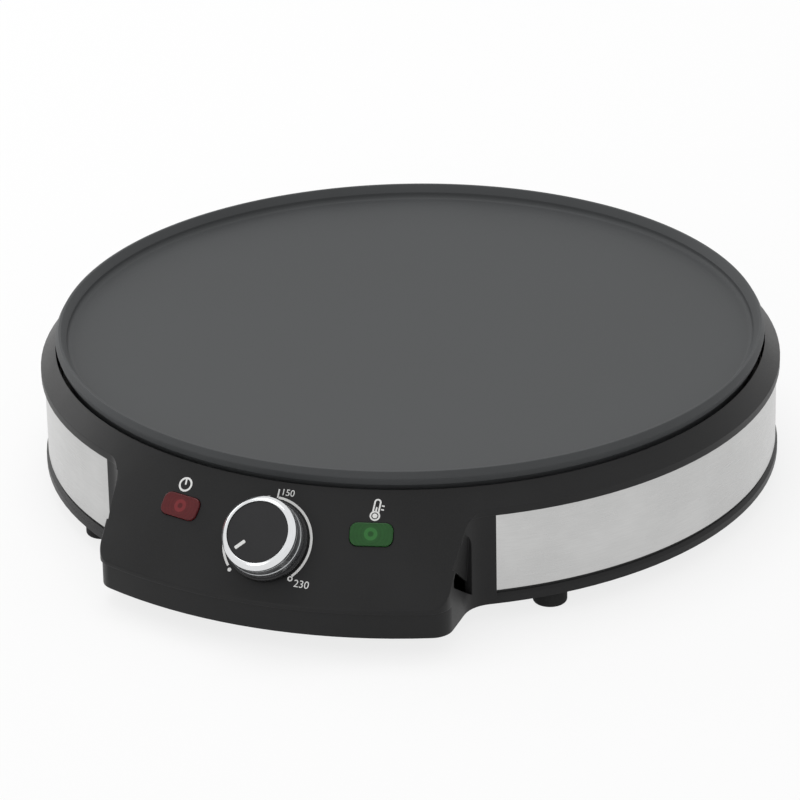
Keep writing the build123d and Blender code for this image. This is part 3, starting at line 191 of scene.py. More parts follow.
# ---------------------------------------------------------------- shader trees
class Paint:
    """Writer of one material's shader tree round a principled shader."""

    rolled_range = (0.995, 0.8)

    def __init__(self, name: str) -> None:
        """Starts the material with its shader and its output.

        Args:
            name: Name of the material.
        """
        self.material = bpy.data.materials.new(name)
        self.material.use_nodes = True
        self.tree = self.material.node_tree
        self.tree.nodes.clear()
        self.shader = self.node("ShaderNodeBsdfPrincipled")
        self.node("ShaderNodeOutputMaterial", {"Surface": self.shader.outputs[0]})

    def node(self, kind: str, inputs: Mapping[Any, Any] | None = None, **settings: Any) -> bpy.types.Node:
        """Adds a node to the material's tree."""
        return add_node(self.tree, kind, inputs, **settings)

    def place(self, basis: Matrix = Matrix.Identity(4)) -> Socket:
        """Object coordinates measured in a moved and turned frame.

        Args:
            basis: The frame that the coordinates are measured in.

        Returns:
            The coordinates.
        """
        coordinates = self.node("ShaderNodeTexCoord").outputs["Object"]
        inputs = {"Vector": coordinates, "Location": basis.to_translation(), "Rotation": basis.to_euler()}
        return self.node("ShaderNodeMapping", inputs, vector_type="TEXTURE").outputs[0]

    def calc(self, operation: str, first: Any, second: Any = 0.0) -> Socket:
        """One step of arithmetic on sockets or numbers."""
        return self.node("ShaderNodeMath", {0: first, 1: second}, operation=operation).outputs[0]

    def noise(self, place: Socket, size: float, detail: float = 2.0) -> Socket:
        """Soft noise from 0 to 1 whose blobs are about a given size across."""
        inputs = {"Vector": place, "Scale": 1.0 / size, "Detail": detail}
        return self.node("ShaderNodeTexNoise", inputs).outputs[0]

    def cells(self, place: Socket, size: float) -> Socket:
        """Distance to the nearest of scattered points, in cells of a given size."""
        return self.node("ShaderNodeTexVoronoi", {"Vector": place, "Scale": 1.0 / size}).outputs["Distance"]

    def stretch(self, value: Any, low: float, high: float, out: tuple[float, float] = (0.0, 1.0)) -> Socket:
        """Maps one range to another and holds the ends."""
        inputs = {0: value, 1: low, 2: high, 3: out[0], 4: out[1]}
        return self.node("ShaderNodeMapRange", inputs, interpolation_type="SMOOTHSTEP").outputs[0]

    def spread(self, noise: Socket, out: tuple[float, float] = (0.0, 1.0)) -> Socket:
        """Maps the range that a noise mostly keeps to."""
        return self.stretch(noise, *NOISE_RANGE, out)

    def blend(self, share: Any, first: Any, second: Any) -> Socket:
        """Mixes two colours."""
        inputs = {0: share, 6: opaque(first), 7: opaque(second)}
        return self.node("ShaderNodeMix", inputs, data_type="RGBA").outputs[2]

    def relief(self, height: Any, depth: float, below: Any = None) -> Socket:
        """Bump from a height of 0 to 1 that is worth a depth.

        Args:
            height: Height, from 0 to 1.
            depth: Depth that a height of 1 stands for.
            below: Normal that the bump is laid on.

        Returns:
            The bumped normal.
        """
        inputs = {"Height": height, "Distance": depth, "Strength": 1.0}
        if below is not None:
            inputs["Normal"] = below
        return self.node("ShaderNodeBump", inputs).outputs[0]

    def soft_edge(self, radius: float) -> Socket:
        """Normal that rolls over sharp edges."""
        return self.node("ShaderNodeBevel", {"Radius": radius}, samples=6).outputs[0]

    def edge_wear_and_highlight(self, radius: float) -> Socket:
        """Share from 0 to 1 that rises where an edge is near.

        Args:
            radius: How far from the edge the share reaches.

        Returns:
            The share.
        """
        rolled = self.soft_edge(radius)
        flat = self.node("ShaderNodeNewGeometry").outputs["Normal"]
        same = self.node("ShaderNodeVectorMath", {0: rolled, 1: flat}, operation="DOT_PRODUCT")
        return self.stretch(same.outputs["Value"], *self.rolled_range)

    def polar(self, basis: Matrix) -> tuple[Socket, Socket, Socket]:
        """Radius, angle and height about a frame's Z axis.

        Args:
            basis: The frame.

        Returns:
            Radius, angle and height.
        """
        parts = self.node("ShaderNodeSeparateXYZ", {0: self.place(basis)}).outputs
        radius = self.calc("SQRT", self.calc("ADD", self.calc("POWER", parts[0], 2.0),
                                             self.calc("POWER", parts[1], 2.0)))
        return radius, self.calc("ARCTAN2", parts[1], parts[0]), parts[2]

    def vector(self, x: Any, y: Any, z: Any) -> Socket:
        """Vector from three sockets or numbers."""
        return self.node("ShaderNodeCombineXYZ", {0: x, 1: y, 2: z}).outputs[0]

    def wear(self, **sockets: Any) -> bpy.types.Material:
        """Sets or links the principled shader's inputs, named in words joined by underscores.

        Args:
            sockets: Values or sockets by the input's name.

        Returns:
            The material.
        """
        for name, value in sockets.items():
            feed(self.tree, self.shader.inputs[name.replace("_", " ").title().replace("Ior", "IOR")], value)
        return self.material


def opaque(colour: Any) -> Any:
    """A colour with its alpha, or the socket that it is."""
    return colour if isinstance(colour, Socket) else (*colour, 1.0)


def shade(colour: Colour, factor: float) -> Colour:
    """A colour made darker or lighter."""
    return tuple(min(1.0, part * factor) for part in colour)


# ---------------------------------------------------------------- finishes
@dataclass(frozen=True)
class Finish:
    """What every finish has: its slot, its colour, its roughness and how its material's name ends."""

    slot: str
    colour: Colour
    roughness: float
    ending: str = field(default="finish", kw_only=True)

    def material(self) -> bpy.types.Material:
        """The finish's material, made once.

        Returns:
            The material.
        """
        name = self.slot + "_" + self.ending
        found = bpy.data.materials.get(name)
        return found if found else self.mix(Paint(name))

    def clouded(self, paint: Paint, cloud: Socket, share: float) -> Socket:
        """The colour, darker and lighter by a share where the clouds are.

        Args:
            paint: Writer of the material's tree.
            cloud: Noise of the clouds.
            share: How much the colour changes.

        Returns:
            The clouded colour.
        """
        low, high = shade(self.colour, 1.0 - share), shade(self.colour, 1.0 + share)
        return paint.blend(paint.spread(cloud), low, high)

    def mix(self, paint: Paint) -> bpy.types.Material:
        """Writes the shader tree."""
        raise NotImplementedError


@dataclass(frozen=True)
class Moulded(Finish):
    """Moulded plastic, rubber or ceramic: a spark-eroded grain, faint clouds and rubbed edges."""

    specular: float = 0.3
    grain: float = 0.0005
    depth: float = 0.00001
    edge: float = 0.0004
    clouds: float = 0.18
    cloud_size: float = 0.045
    rub: float = 1.8

    def mix(self, paint: Paint) -> bpy.types.Material:
        """Grain in the relief and the gloss, clouds in the colour, paler and smoother edges.

        Args:
            paint: Writer of the material's tree.

        Returns:
            The material.
        """
        place = paint.place()
        cloud = paint.noise(place, self.cloud_size, 3.0)
        fine = paint.noise(place, self.grain, 4.0)
        pits = paint.cells(place, self.grain * 1.6)
        wear_and_highlight = paint.edge_wear_and_highlight(self.edge)
        body = self.clouded(paint, cloud, self.clouds)
        speckled = paint.blend(paint.stretch(fine, 0.35, 0.7, (0.0, 0.5)), body, shade(self.colour, 1.5))
        worn_and_highlighted = paint.blend(paint.calc("MULTIPLY", wear_and_highlight, 0.6), speckled, shade(self.colour, self.rub))
        gloss = paint.calc("ADD", paint.spread(fine, (self.roughness - 0.05, self.roughness + 0.06)),
                           paint.spread(cloud, (-0.03, 0.03)))
        gloss = paint.calc("SUBTRACT", gloss, paint.calc("MULTIPLY", wear_and_highlight, 0.12))
        surface = paint.calc("ADD", paint.calc("MULTIPLY", pits, 0.6), paint.calc("MULTIPLY", fine, 0.6))
        normal = paint.relief(surface, self.depth, paint.soft_edge(self.edge))
        return paint.wear(base_color=worn_and_highlighted, roughness=gloss, normal=normal, specular_ior_level=self.specular)


@dataclass(frozen=True)
class Coated(Finish):
    """Non-stick coating sprayed on a turned casting: fine flecks over faint turning rings."""

    specular: float = 0.16
    fleck: float = 0.0007
    peel: float = 0.0022
    ring: float = 0.0011
    ring_depth: float = 0.0000012
    peel_depth: float = 0.000012
    fleck_depth: float = 0.000004
    edge: float = 0.0009
    clouds: float = 0.06
    cloud_size: float = 0.07

    def mix(self, paint: Paint) -> bpy.types.Material:
        """Flecks and heat clouds in the colour, lighter edges as painted highlight and wear, orange peel and
        turning rings in the relief.

        Args:
            paint: Writer of the material's tree.

        Returns:
            The material.
        """
        basis = Matrix.Translation(PLATE_CENTRE)
        place = paint.place(basis)
        radius, _angle, _height = paint.polar(basis)
        cloud = paint.noise(place, self.cloud_size, 3.0)
        fleck = paint.stretch(paint.cells(place, self.fleck), 0.22, 0.05)
        sparse = paint.stretch(paint.noise(place, self.fleck * 3.0), 0.5, 0.62)
        # Share for the lighter edges below: a painted highlight along the rim's edges, partly edge wear as
        # well.
        wear_and_highlight = paint.edge_wear_and_highlight(self.edge)
        body = self.clouded(paint, cloud, self.clouds)
        flecked = paint.blend(paint.calc("MULTIPLY", paint.calc("MULTIPLY", fleck, sparse), 0.3), body,
                              shade(self.colour, 2.2))
        worn_and_highlighted = paint.blend(paint.calc("MULTIPLY", wear_and_highlight, 0.6), flecked, shade(self.colour, 2.6))
        turning = paint.calc("SINE", paint.calc("MULTIPLY", radius, 2.0 * math.pi / self.ring))
        rings = paint.relief(paint.stretch(turning, -1.0, 1.0), self.ring_depth)
        peel = paint.relief(paint.noise(place, self.peel, 1.0), self.peel_depth, rings)
        normal = paint.relief(paint.noise(place, self.fleck * 0.5, 2.0), self.fleck_depth, peel)
        gloss = paint.calc("SUBTRACT", paint.spread(cloud, (self.roughness - 0.03, self.roughness + 0.03)),
                           paint.calc("MULTIPLY", wear_and_highlight, 0.15))
        return paint.wear(base_color=worn_and_highlighted, roughness=gloss, normal=normal, specular_ior_level=self.specular)


@dataclass(frozen=True)
class Metal(Finish):
    """Bare or plated metal: fine lines one way, clouds in the colour and handled edges."""

    brushing: Brushing = Brushing.NONE
    line: float = 0.00012
    depth: float = 0.0000015
    clouds: float = 0.06
    cloud_size: float = 0.03
    anisotropy: float = 0.0
    edge: float = 0.0003
    plate_draw: float = PLATE_RADIUS / 60.0
    dial_draw: float = 0.0004
    straight_draw: float = 0.02

    def lines(self, paint: Paint) -> Socket:
        """Noise drawn out along the brushing.

        Args:
            paint: Writer of the material's tree.

        Returns:
            The noise.
        """
        if self.brushing is Brushing.ROUND_THE_PLATE:
            radius, angle, height = paint.polar(Matrix.Translation(PLATE_CENTRE))
            place = paint.vector(paint.calc("MULTIPLY", angle, self.plate_draw), radius, height)
        elif self.brushing is Brushing.ROUND_THE_DIAL:
            radius, angle, height = paint.polar(PANEL.basis(DIAL_CENTRE))
            place = paint.vector(paint.calc("MULTIPLY", angle, self.dial_draw), radius, height)
        elif self.brushing is Brushing.ALONG_X:
            parts = paint.node("ShaderNodeSeparateXYZ", {0: paint.place()}).outputs
            place = paint.vector(paint.calc("MULTIPLY", parts[0], self.straight_draw), parts[1], parts[2])
        else:
            place = paint.place()
        return paint.noise(place, self.line, 3.0)

    def mix(self, paint: Paint) -> bpy.types.Material:
        """Lines in colour, gloss and relief; broad clouds; brighter edges.

        Args:
            paint: Writer of the material's tree.

        Returns:
            The material.
        """
        line = self.lines(paint)
        cloud = paint.noise(paint.place(), self.cloud_size, 3.0)
        wear_and_highlight = paint.edge_wear_and_highlight(self.edge)
        body = self.clouded(paint, cloud, self.clouds)
        lined = paint.blend(paint.spread(line, (0.0, 0.6)), body, shade(self.colour, 0.88))
        worn_and_highlighted = paint.blend(paint.calc("MULTIPLY", wear_and_highlight, 0.4), lined, shade(self.colour, 1.2))
        gloss = paint.calc("ADD", paint.spread(line, (self.roughness * 0.85, self.roughness * 1.15)),
                           paint.spread(cloud, (-0.015, 0.015)))
        normal = paint.relief(line, self.depth, paint.soft_edge(self.edge))
        return paint.wear(base_color=worn_and_highlighted, metallic=1.0, roughness=gloss, normal=normal,
                          anisotropic=self.anisotropy, anisotropic_rotation=0.25)


@dataclass(frozen=True)
class Window(Finish):
    """Tinted clear moulding with the lamp's pocket showing as a ring in its middle."""

    centre_node: str = ""
    ring_out: float = 0.00295
    ring_in: float = 0.00125
    optic_step: float = 0.0016
    cloud_size: float = 0.004
    edge: float = 0.0005
    edge_colour: Colour = (0.3, 0.28, 0.26)

    def mix(self, paint: Paint) -> bpy.types.Material:
        """A paler ring with a dark core, faint optic rings to both sides and a glossy face.

        Args:
            paint: Writer of the material's tree.

        Returns:
            The material.
        """
        basis = PANEL.basis(middle(self.centre_node))
        radius, _angle, _height = paint.polar(basis)
        place = paint.place(basis)
        ring = paint.calc("MULTIPLY", paint.stretch(radius, self.ring_out + 0.0002, self.ring_out - 0.0002),
                          paint.stretch(radius, self.ring_in - 0.0003, self.ring_in + 0.0003))
        core = paint.stretch(radius, self.ring_in, self.ring_in * 0.4)
        optic = paint.calc("SINE", paint.calc("MULTIPLY", radius, 2.0 * math.pi / self.optic_step))
        cloud = paint.noise(place, self.cloud_size, 2.0)
        optic = paint.stretch(optic, -1.0, 1.0, (0.0, 0.35))
        body = paint.blend(optic, self.colour, shade(self.colour, 1.35))
        body = paint.blend(paint.spread(cloud, (0.0, 0.3)), body, shade(self.colour, 0.7))
        lit = paint.blend(ring, body, shade(self.colour, 1.9))
        cored = paint.blend(paint.calc("MULTIPLY", core, 0.8), lit, shade(self.colour, 0.9))
        edge = paint.blend(paint.calc("MULTIPLY", paint.edge_wear_and_highlight(self.edge), 0.5), cored, self.edge_colour)
        normal = paint.relief(paint.noise(place, 0.003, 1.0), 0.000006, paint.soft_edge(0.0003))
        gloss = paint.spread(cloud, (self.roughness * 0.8, self.roughness * 1.2))
        return paint.wear(base_color=edge, roughness=gloss, normal=normal, transmission_weight=0.15, ior=1.49,
                          specular_ior_level=0.14, coat_weight=0.05, coat_roughness=0.04)


@dataclass(frozen=True)
class Print(Finish):
    """Pad-printed ink: nearly flat, thin in places."""

    thin: Colour = (0.3, 0.3, 0.3)

    def mix(self, paint: Paint) -> bpy.types.Material:
        """Pinholes and thin spots in the colour, a faint relief.

        Args:
            paint: Writer of the material's tree.

        Returns:
            The material.
        """
        place = paint.place()
        cover = paint.noise(place, 0.0004, 3.0)
        body = paint.blend(paint.stretch(cover, 0.28, 0.4, (0.5, 0.0)), self.colour, self.thin)
        normal = paint.relief(cover, 0.000004)
        gloss = paint.spread(cover, (self.roughness - 0.05, self.roughness + 0.05))
        return paint.wear(base_color=body, roughness=gloss, normal=normal, specular_ior_level=0.3)


COATING = Coated("coated_aluminium", (0.0590, 0.0615, 0.0635), 0.5)
CASING_BLACK = Moulded("casing_plastic", (0.0105, 0.0105, 0.0108), 0.42, specular=0.22)
BASE_BLACK = Moulded("base_plastic", (0.012, 0.012, 0.012), 0.55, specular=0.25, grain=0.0008, depth=0.00002)
RUBBER = Moulded("foot_rubber", (0.014, 0.014, 0.014), 0.75, specular=0.2, grain=0.0006, depth=0.00003)
KNOB_BLACK = Moulded("knob_plastic", (0.014, 0.014, 0.015), 0.35, specular=0.3, grain=0.0003, depth=0.000004)
GLAND_BLACK = Moulded("gland_plastic", (0.013, 0.013, 0.013), 0.45, specular=0.3)
BAND_STEEL = Metal("band_steel", (0.56, 0.56, 0.555), 0.32, Brushing.ROUND_THE_PLATE, anisotropy=0.4)
CHROME = Metal("knob_chrome", (0.76, 0.77, 0.78), 0.12, Brushing.ROUND_THE_DIAL, depth=0.0000003, clouds=0.02)
# Darker, rougher copy of the chrome for the ring's wall: the darker colour is painted shade for the dark panel
# that the wall mirrors, the higher roughness a satin finish.
SHADED_SATIN_CHROME = Metal("knob_chrome", (0.50, 0.51, 0.52), 0.34, Brushing.ROUND_THE_DIAL, depth=0.0000006, clouds=0.03,
              ending="shaded_satin")
RED_WINDOW = Window("red_window", (0.108, 0.014, 0.016), 0.18, centre_node="red_lens")
GREEN_WINDOW = Window("green_window", (0.020, 0.092, 0.022), 0.18, centre_node="green_lens")
WHITE_INK = Print("pointer_white", (0.78, 0.78, 0.77), 0.5)

INNER_FINISHES: tuple[Finish, ...] = (
    Metal("heater_sheath", (0.30, 0.27, 0.25), 0.38, Brushing.NONE, line=0.0004, clouds=0.25),
    Moulded("ceramic", (0.72, 0.70, 0.64), 0.5, specular=0.5, clouds=0.05, rub=1.1),
    Metal("pin_steel", (0.58, 0.57, 0.55), 0.3),
    Metal("shield_steel", (0.10, 0.097, 0.094), 0.6, line=0.0009, clouds=0.15),
    Metal("screw_steel", (0.60, 0.60, 0.58), 0.3, line=0.0002, clouds=0.12),
    Metal("terminal_steel", (0.62, 0.60, 0.54), 0.28),
    Metal("label_metal", (0.66, 0.66, 0.66), 0.4, Brushing.ALONG_X),
    Metal("spindle_steel", (0.60, 0.60, 0.60), 0.25, Brushing.ROUND_THE_DIAL),
    Metal("thermostat_sheet", (0.58, 0.58, 0.56), 0.34, line=0.0006, clouds=0.1),
    Moulded("switch_moulding", (0.11, 0.045, 0.02), 0.4, specular=0.45, clouds=0.12),
    Metal("brass_contact", (0.76, 0.58, 0.28), 0.3, clouds=0.12),
    Metal("arm_bronze", (0.70, 0.46, 0.24), 0.3, Brushing.ALONG_X, clouds=0.1),
    Metal("copper_tube", (0.74, 0.40, 0.26), 0.28, clouds=0.15),
    Metal("fuse_case", (0.72, 0.72, 0.70), 0.3, Brushing.ALONG_X),
    Metal("clip_steel", (0.56, 0.56, 0.55), 0.36, Brushing.ALONG_X),
    Moulded("neon_glass", (0.75, 0.40, 0.24), 0.12, specular=0.5, grain=0.002, depth=0.000002),
    Moulded("holder_plastic", (0.70, 0.68, 0.60), 0.5, specular=0.4, clouds=0.04, rub=1.15),
    Moulded("clamp_plastic", (0.66, 0.64, 0.58), 0.5, specular=0.4, clouds=0.04, rub=1.15),
    Moulded("live_insulation", (0.13, 0.05, 0.02), 0.5, grain=0.001, rub=1.3),
    Moulded("neutral_insulation", (0.02, 0.07, 0.33), 0.5, grain=0.001, rub=1.3),
    Moulded("earth_insulation", (0.16, 0.36, 0.03), 0.5, grain=0.001, rub=1.3),
    Moulded("switched_insulation", (0.02, 0.02, 0.02), 0.5, grain=0.001, rub=1.5),
    Moulded("lead_insulation", (0.66, 0.66, 0.62), 0.6, grain=0.0007, rub=1.1),
)


# ---------------------------------------------------------------- geometry trees
class GeometryTree:
    """Writer of one geometry tree with named inputs."""

    def __init__(self, name: str) -> None:
        """Starts the tree with a geometry going in.

        Args:
            name: Name of the tree.
        """
        self.group = bpy.data.node_groups.new(name, "GeometryNodeTree")
        self.keys: dict[str, str] = {}
        self.start = self.group.nodes.new("NodeGroupInput")
        self.geometry = self.ask("Geometry", "NodeSocketGeometry")

    def ask(self, name: str, kind: str) -> Socket:
        """Adds a named input and gives its socket.

        Args:
            name: Name of the input.
            kind: Type of its socket.

        Returns:
            The input's socket inside the tree.
        """
        item = self.group.interface.new_socket(name=name, in_out="INPUT", socket_type=kind)
        self.keys[name] = item.identifier
        return next(socket for socket in self.start.outputs if socket.identifier == item.identifier)

    def node(self, kind: str, inputs: Mapping[Any, Any] | None = None, **settings: Any) -> Socket:
        """Adds a node and gives its first output."""
        return add_node(self.group, kind, inputs, **settings).outputs[0]

    def close(self, geometry: Socket) -> None:
        """Ends the tree: plain geometry in the finish asked for, creased where it turns sharply.

        Args:
            geometry: Geometry that the tree has made.
        """
        crease = self.ask("Crease Angle", "NodeSocketFloat")
        angle = self.node("GeometryNodeInputMeshEdgeAngle")
        sharp = self.node(
            "FunctionNodeCompare", {0: angle, 1: crease}, data_type="FLOAT", operation="GREATER_THAN")
        real = self.node("GeometryNodeRealizeInstances", {0: geometry})
        shading = "GeometryNodeSetShadeSmooth"
        smooth = self.node(shading, {"Geometry": real, "Shade Smooth": True}, domain="FACE")
        creased = self.node(
            shading, {"Geometry": smooth, "Selection": sharp, "Shade Smooth": False}, domain="EDGE")
        finish = self.ask("Finish", "NodeSocketMaterial")
        dressed = self.node("GeometryNodeSetMaterial", {"Geometry": creased, "Material": finish})
        self.group.interface.new_socket(name="Geometry", in_out="OUTPUT", socket_type="NodeSocketGeometry")
        end = self.group.nodes.new("NodeGroupOutput")
        self.group.links.new(dressed, end.inputs[0])

    def run(self, base: Mesh, finish: Finish, **values: Any) -> Mesh:
        """Runs the tree on a mesh.

        Args:
            base: Mesh that goes in.
            finish: Finish of what comes out.
            values: The tree's inputs, with underscores for spaces.

        Returns:
            A plain mesh.
        """
        holder = bpy.data.objects.new("tree_holder", base)
        bpy.context.scene.collection.objects.link(holder)
        modifier = holder.modifiers.new("tree", "NODES")
        modifier.node_group = self.group
        values.setdefault("Crease_Angle", math.radians(35.0))
        values["Finish"] = finish.material()
        for name, value in values.items():
            modifier[self.keys[name.replace("_", " ")]] = value
        done = holder.evaluated_get(bpy.context.evaluated_depsgraph_get())
        mesh = bpy.data.meshes.new_from_object(done)
        holder.modifiers.remove(modifier)
        bpy.data.objects.remove(holder)
        return mesh


class TurnedTree(GeometryTree):
    """Sweeps an outline round an axis, by a whole turn or by part of one."""

    pivot = 0.5

    def __init__(self, whole: bool) -> None:
        """Writes the tree for a whole turn or for a part with closed ends.

        Args:
            whole: Whether the body goes all the way round.
        """
        super().__init__("turned_body" if whole else "swept_strip")
        outline = self.node("GeometryNodeMeshToCurve", {"Mesh": self.geometry})
        steps = self.ask("Steps", "NodeSocketInt")
        if whole:
            path = self.node("GeometryNodeCurvePrimitiveCircle", {"Resolution": steps, "Radius": self.pivot})
        else:
            path = self.node("GeometryNodeCurveArc", {
                "Resolution": steps, "Radius": self.pivot,
                "Start Angle": self.ask("Start Angle", "NodeSocketFloat"),
                "Sweep Angle": self.ask("Sweep Angle", "NodeSocketFloat")})
        body = self.node("GeometryNodeCurveToMesh", {
            "Curve": path, "Profile Curve": outline, "Fill Caps": not whole})
        self.close(self.node("GeometryNodeMergeByDistance", {"Geometry": body, "Distance": WELD * 2}))

    def turn(self, outline: "Outline", finish: Finish, **values: Any) -> Mesh:
        """Turned mesh of an outline about the origin's Z axis.

        Args:
            outline: The outline.
            finish: The body's finish.
            values: More of the tree's inputs.

        Returns:
            The mesh.
        """
        points = [(p.x - self.pivot, -p.y, 0.0) for p in outline.points()]
        edges = [(i, i + 1) for i in range(len(points) - 1)]
        if outline.closed:
            edges.append((len(points) - 1, 0))
        base = bpy.data.meshes.new("outline")
        base.from_pydata(points, edges, [])
        return self.run(base, finish, **values)


class ScatterTree(GeometryTree):
    """Puts a copy of one piece on every point, with its Z axis along the point's own direction."""

    spin_step = 0.7

    def __init__(self) -> None:
        """Writes the tree."""
        super().__init__("scattered_pieces")
        piece = self.ask("Piece", "NodeSocketObject")
        info = self.node("GeometryNodeObjectInfo", {"Object": piece}, transform_space="ORIGINAL")
        shape = info.node.outputs["Geometry"]
        axis = self.node("GeometryNodeInputNamedAttribute", {"Name": "axis"}, data_type="FLOAT_VECTOR")
        turn = self.node("FunctionNodeAlignRotationToVector", {"Vector": axis}, axis="Z")
        spin = self.node("GeometryNodeInputNamedAttribute", {"Name": "spin"}, data_type="FLOAT")
        about = self.node("FunctionNodeAxisAngleToRotation", {"Axis": (0.0, 0.0, 1.0), "Angle": spin})
        whole = self.node("FunctionNodeRotateRotation", {0: turn, 1: about}, rotation_space="LOCAL")
        self.close(self.node("GeometryNodeInstanceOnPoints", {
            "Points": self.geometry, "Instance": shape, "Rotation": whole}))

    def scatter(self, piece: Mesh, spots: Sequence[tuple[Vector, Vector]], finish: Finish) -> Mesh:
        """One mesh with a copy of a piece at each spot.

        Args:
            piece: Mesh about the origin, standing along Z.
            spots: Places, each with the direction of the copy's Z axis.
            finish: Finish of the copies.

        Returns:
            The joined mesh.
        """
        base = bpy.data.meshes.new("spots")
        base.from_pydata([tuple(place) for place, _axis in spots], [], [])
        base.attributes.new("axis", "FLOAT_VECTOR", "POINT")
        base.attributes.new("spin", "FLOAT", "POINT")
        for index, (_place, axis) in enumerate(spots):
            base.attributes["axis"].data[index].vector = axis
            base.attributes["spin"].data[index].value = index * self.spin_step
        model = bpy.data.objects.new("scattered_model", piece)
        mesh = self.run(base, finish, Piece=model)
        bpy.data.objects.remove(model)
        return mesh


# ---------------------------------------------------------------- outlines
@dataclass(frozen=True)
class Corner:
    """Corner of an outline: its radius from the axis, its height and how far it is rounded."""

    radius: float
    height: float
    round: float = 0.0


@dataclass(frozen=True)
class Outline:
    """Outline of a turned body, from the top outwards and down, so that its faces point out."""

    corners: tuple[Corner, ...]
    closed: bool = False
    arc_step: float = math.radians(10.0)

    def points(self) -> list[Vector]:
        """The outline's points, with its rounded corners as arcs.

        Returns:
            The points, each as radius and height.
        """
        spots = [Vector((c.radius, c.height)) for c in self.corners]
        count, found = len(spots), []
        for index, corner in enumerate(self.corners):
            ends = index in (0, count - 1) and not self.closed
            if corner.round <= 0.0 or ends:
                found.append(spots[index])
                continue
            found.extend(self.arc(spots[index - 1], spots[index], spots[(index + 1) % count], corner.round))
        return found

    def arc(self, before: Vector, at: Vector, after: Vector, size: float) -> list[Vector]:
        """Arc of a given radius inside one corner.

        Args:
            before: Point before the corner.
            at: The corner.
            after: Point after the corner.
            size: Radius of the arc.

        Returns:
            Points of the arc, both ends included.
        """
        back, on = (before - at).normalized(), (after - at).normalized()
        half = back.angle(on) / 2.0
        reach = size / math.tan(half)
        centre = at + (back + on).normalized() * (size / math.sin(half))
        first, last = at + back * reach - centre, at + on * reach - centre
        sweep = first.angle_signed(last)
        steps = max(2, math.ceil(abs(sweep) / self.arc_step))
        return [centre + rotated(first, -sweep * i / steps) for i in range(steps + 1)]


def rotated(vector: Vector, angle: float) -> Vector:
    """A flat vector turned anticlockwise.

    Args:
        vector: The vector.
        angle: Angle in radians.

    Returns:
        The turned copy.
    """
    turned = vector.copy()
    turned.rotate(Matrix.Rotation(angle, 2))
    return turned


# ---------------------------------------------------------------- pieces
def dress(mesh: Mesh, name: str, body: Body, finish: Finish, nodes: Iterable[str] = ()) -> bpy.types.Object:
    """Makes a piece of a mesh that is already in place.

    Args:
        mesh: The piece's mesh.
        name: The piece's name.
        body: Body that it rides on.
        finish: Its finish.
        nodes: Solids that it stands for.

    Returns:
        The piece.
    """
    piece = bpy.data.objects.new(name, mesh)
    bpy.context.scene.collection.objects.link(piece)
    if not mesh.materials:
        mesh.materials.append(finish.material())
    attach(piece, body.value)
    if nodes:
        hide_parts(*nodes)
    LOG.info("%s: %d faces on %s", name, len(mesh.polygons), body.value)
    return piece


def smoothed(node: str, crease: float = math.radians(30.0)) -> Mesh:
    """Welded copy of a solid's mesh that is smooth up to a crease angle.

    Args:
        node: Name of the solid's node.
        crease: Angle above which an edge stays sharp.

    Returns:
        The copy, without materials.
    """
    mesh = frame["nodes"][node].data.copy()
    mesh.materials.clear()
    work = bmesh.new()
    work.from_mesh(mesh)
    bmesh.ops.remove_doubles(work, verts=work.verts, dist=WELD)
    for face in work.faces:
        face.smooth = True
    for edge in work.edges:
        edge.smooth = len(edge.link_faces) == 2 and edge.calc_face_angle(math.pi) < crease
    work.to_mesh(mesh)
    work.free()
    return mesh


def dress_solid(node: str, name: str, finish: Finish, weight: int = 50) -> None:
    """Makes a fixed piece in the shape of one solid, with normals that favour its flat faces.

    Args:
        node: Name of the solid's node.
        name: The piece's name.
        finish: Its finish.
        weight: How much the large faces count.
    """
    piece = dress(smoothed(node), name, Body.HOUSING, finish, [node])
    weights = piece.modifiers.new("flat_faces_first", "WEIGHTED_NORMAL")
    weights.keep_sharp, weights.weight = True, weight


